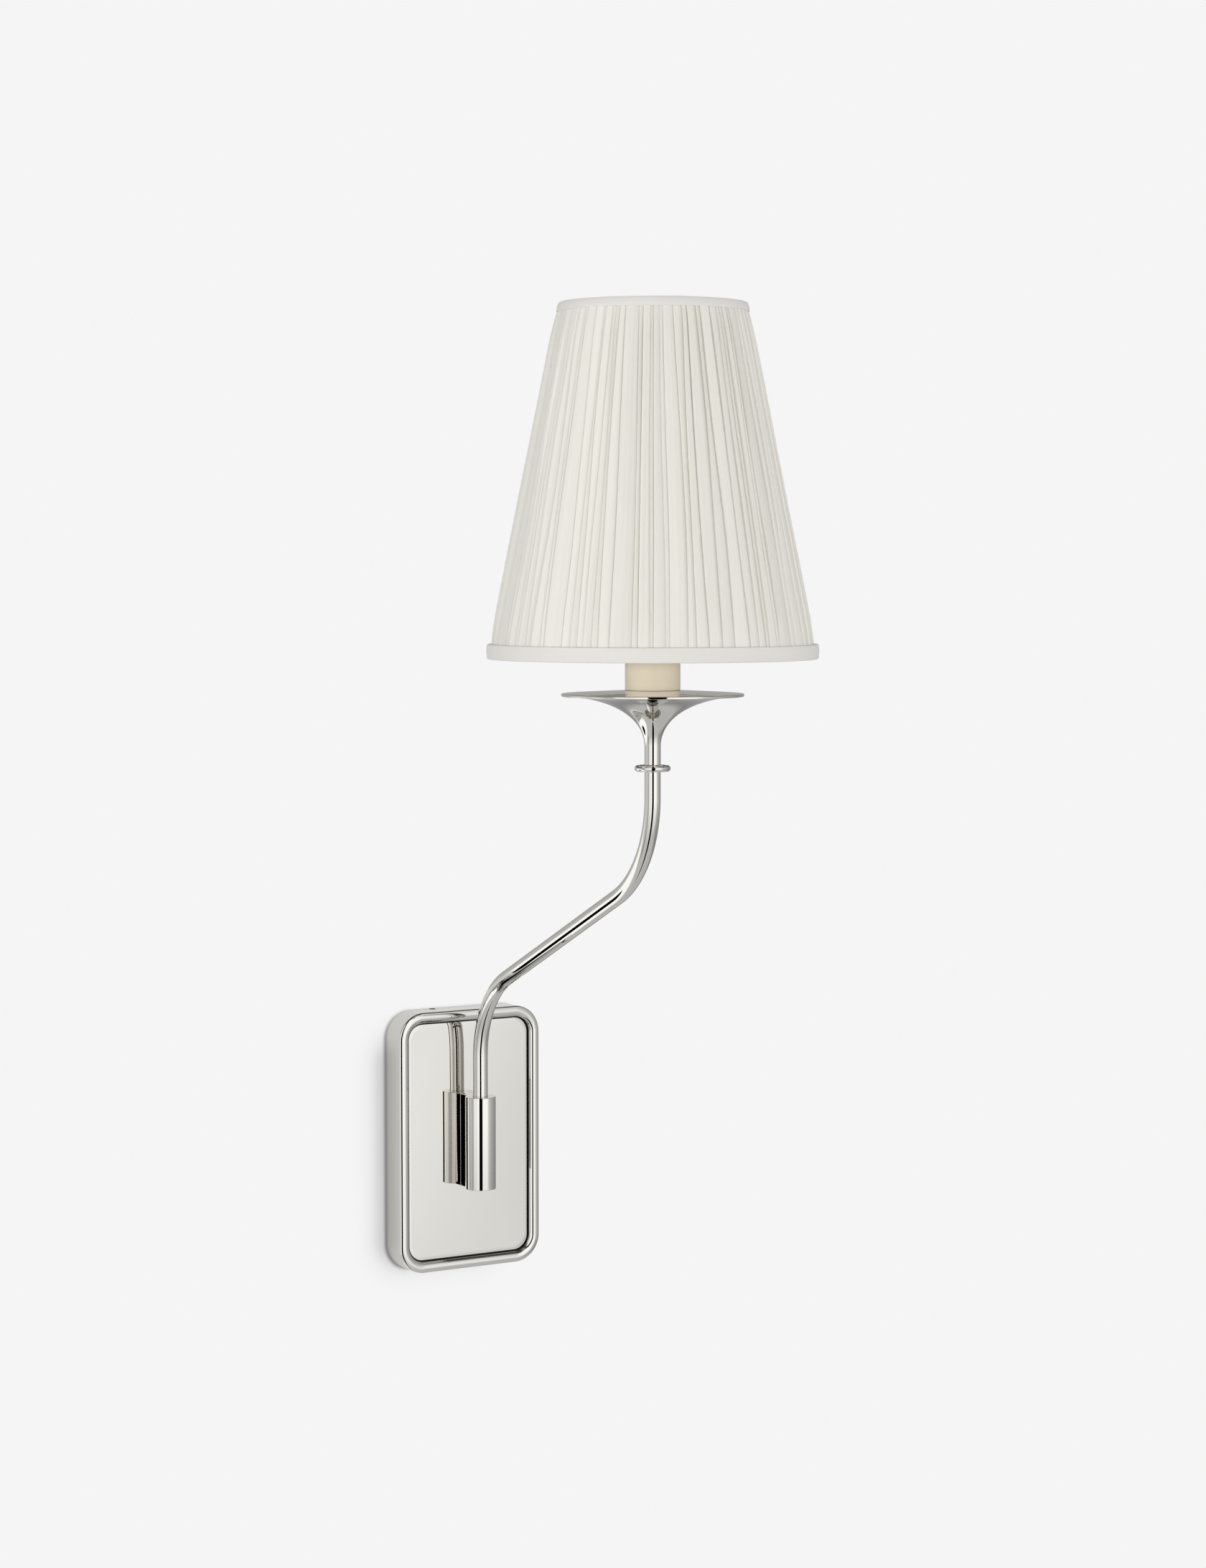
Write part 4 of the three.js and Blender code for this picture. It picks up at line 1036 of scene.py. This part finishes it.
floor = stage_mesh("floor", [(-S, -S, -1.3), (S, -S, -1.3), (S, S, -1.3), (-S, S, -1.3)], [(0, 1, 2, 3)])
m, nt, em, out = emitter("floor_paint", (0.86, 0.86, 0.86))
nt.links.new(em.outputs[0], out.inputs["Surface"])
floor.data.materials.append(m)
floor.visible_diffuse = floor.visible_glossy = floor.visible_shadow = floor.visible_transmission = False

FILL = 0.50
for name_, az_, share in (("left_bank", -96.0, 0.37), ("front_bank", -20.0, 0.41), ("right_bank", 44.0, 0.17)):
    # long low banks of light for the matt pieces, out of the polished metal's sight
    ld = bpy.data.lights.new(name_, "AREA")
    ld.shape, ld.size, ld.size_y = "RECTANGLE", 1.6, 0.45
    dist = 2.4
    ld.energy = share * math.pi * math.pi * dist * dist
    lo = bpy.data.objects.new(name_, ld)
    scene.collection.objects.link(lo)
    aim = Vector((0.0, -0.236, 0.34))
    lo.location = aim + Vector((math.sin(math.radians(az_)) * dist, -math.cos(math.radians(az_)) * dist, -0.05))
    lo.rotation_euler = (aim - lo.location).to_track_quat("-Z", "Y").to_euler()
    lo.visible_camera = lo.visible_glossy = lo.visible_transmission = False
# the room's light: two tall soft sources with a dark gap between them, over a grey room
world = bpy.data.worlds.new("studio")
scene.world = world
world.use_nodes = True
nt = world.node_tree
nt.nodes.clear()
out = nt.nodes.new("ShaderNodeOutputWorld")
bg = nt.nodes.new("ShaderNodeBackground")
plain = nt.nodes.new("ShaderNodeBackground")
plain.inputs["Color"].default_value = (0.9131, 0.9131, 0.9131, 1)
tc = nt.nodes.new("ShaderNodeTexCoord")
sep = nt.nodes.new("ShaderNodeSeparateXYZ")
nt.links.new(tc.outputs["Generated"], sep.inputs[0])
X, Y, Z = sep.outputs
az = maths(nt, "MULTIPLY", maths(nt, "ARCTAN2", X, maths(nt, "MULTIPLY", Y, -1.0)), 180 / math.pi)
el = maths(nt, "MULTIPLY", maths(nt, "ARCSINE", Z), 180 / math.pi)


def ramp(nt, value, lo, hi, stops):
    """Piecewise-linear grey over value in [lo, hi]; stops are (position, grey), grey over 2."""
    f = ranged(nt, value, 0.0, 1.0, lo, hi)
    r = nt.nodes.new("ShaderNodeValToRGB")
    r.color_ramp.interpolation = "LINEAR"
    e = r.color_ramp.elements
    while len(e) > 1:
        e.remove(e[-1])
    first = True
    for p, g in stops:
        pos = (p - lo) / (hi - lo)
        el_ = e[0] if first else e.new(pos)
        el_.position = pos
        el_.color = (g / 2, g / 2, g / 2, 1)
        first = False
    nt.links.new(f, r.inputs[0])
    return maths(nt, "MULTIPLY", r.outputs["Color"], 2.0)


around = ramp(nt, az, -180, 180, [(-180, 0.46), (-140, 0.66), (-108, 0.70), (-94, 0.50), (-86, 0.52), (-78, 1.02), (-60, 1.06), (-46, 1.24), (-39.0, 1.30), (-37.8, 0.0), (-15.0, 0.0), (-13.8, 1.20), (0, 1.24), (12, 1.24), (20, 1.18), (25, 1.13), (27.5, 1.07), (29.6, 0.985), (31.7, 0.89), (34.5, 0.79), (40, 0.67), (47, 0.59), (60, 0.51), (72, 0.45), (88, 0.38), (100, 0.30), (130, 0.36), (180, 0.46)])
dip = ramp(nt, el, -90, 90, [(-90, 0.55), (-34, 0.62), (-20, 0.78), (-12, 0.905), (-6.5, 1.0), (90, 1.0)])
upper = ranged(nt, el, 0.0, 1.0, 40.0, 56.0, smooth=True)
ceiling = 0.07
level = maths(nt, "MULTIPLY", around, dip)
below = ranged(nt, el, 1.0, 0.0, -42.0, -24.0, smooth=True)
floor_grey = ramp(nt, az, -180, 180, [(-180, 0.58), (-39.0, 0.62), (-37.6, 0.0), (-15.0, 0.0), (-13.6, 0.64), (60, 0.55), (180, 0.56)])
level = maths(nt, "ADD", maths(nt, "MULTIPLY", level, maths(nt, "SUBTRACT", 1.0, below)), maths(nt, "MULTIPLY", below, floor_grey))
behind = maths(nt, "MULTIPLY", ranged(nt, maths(nt, "ABSOLUTE", az), 0.0, 1.0, 96.0, 116.0, smooth=True), ranged(nt, el, 0.0, 1.0, 8.0, 24.0, smooth=True))
level = maths(nt, "ADD", maths(nt, "MULTIPLY", level, maths(nt, "SUBTRACT", 1.0, behind)), maths(nt, "MULTIPLY", behind, 0.10))
level = maths(nt, "ADD", maths(nt, "MULTIPLY", level, maths(nt, "SUBTRACT", 1.0, upper)), maths(nt, "MULTIPLY", upper, ceiling))


def spot(level, direction, inner, outer, value, soft=2.0):
    """Blends a round patch of the given grey into the level, between two angles from a direction."""
    d = Vector(direction).normalized()
    dot = maths(nt, "ADD", maths(nt, "ADD", maths(nt, "MULTIPLY", X, d.x), maths(nt, "MULTIPLY", Y, d.y)), maths(nt, "MULTIPLY", Z, d.z))
    ang = maths(nt, "MULTIPLY", maths(nt, "ARCCOSINE", dot), 180 / math.pi)
    f = ranged(nt, ang, 1.0, 0.0, outer - soft, outer + soft, smooth=True)
    return maths(nt, "ADD", maths(nt, "MULTIPLY", level, maths(nt, "SUBTRACT", 1.0, f)), maths(nt, "MULTIPLY", f, value))


level = spot(level, (-0.514, 0.619, -0.59), 0, 30.0, 1.25, 4.0)
level = spot(level, (-0.514, 0.619, -0.59), 0, 11.0, 0.0, 1.0)
nt.links.new(level, bg.inputs["Strength"])
bg.inputs["Color"].default_value = (1.0, 0.995, 0.985, 1)
# matt pieces see only an even fill from the world; the three banks of light give them their direction
lp = nt.nodes.new("ShaderNodeLightPath")
even = nt.nodes.new("ShaderNodeBackground")
even.inputs["Strength"].default_value = FILL
even.inputs["Color"].default_value = (1.0, 1.0, 1.0, 1)
soft_mix = nt.nodes.new("ShaderNodeMixShader")
nt.links.new(lp.outputs["Is Diffuse Ray"], soft_mix.inputs[0])
nt.links.new(bg.outputs[0], soft_mix.inputs[1])
nt.links.new(even.outputs[0], soft_mix.inputs[2])
mx = nt.nodes.new("ShaderNodeMixShader")
nt.links.new(lp.outputs["Is Camera Ray"], mx.inputs[0])
nt.links.new(soft_mix.outputs[0], mx.inputs[1])
nt.links.new(plain.outputs[0], mx.inputs[2])
nt.links.new(mx.outputs[0], out.inputs["Surface"])
world.cycles.sampling_method = "NONE"
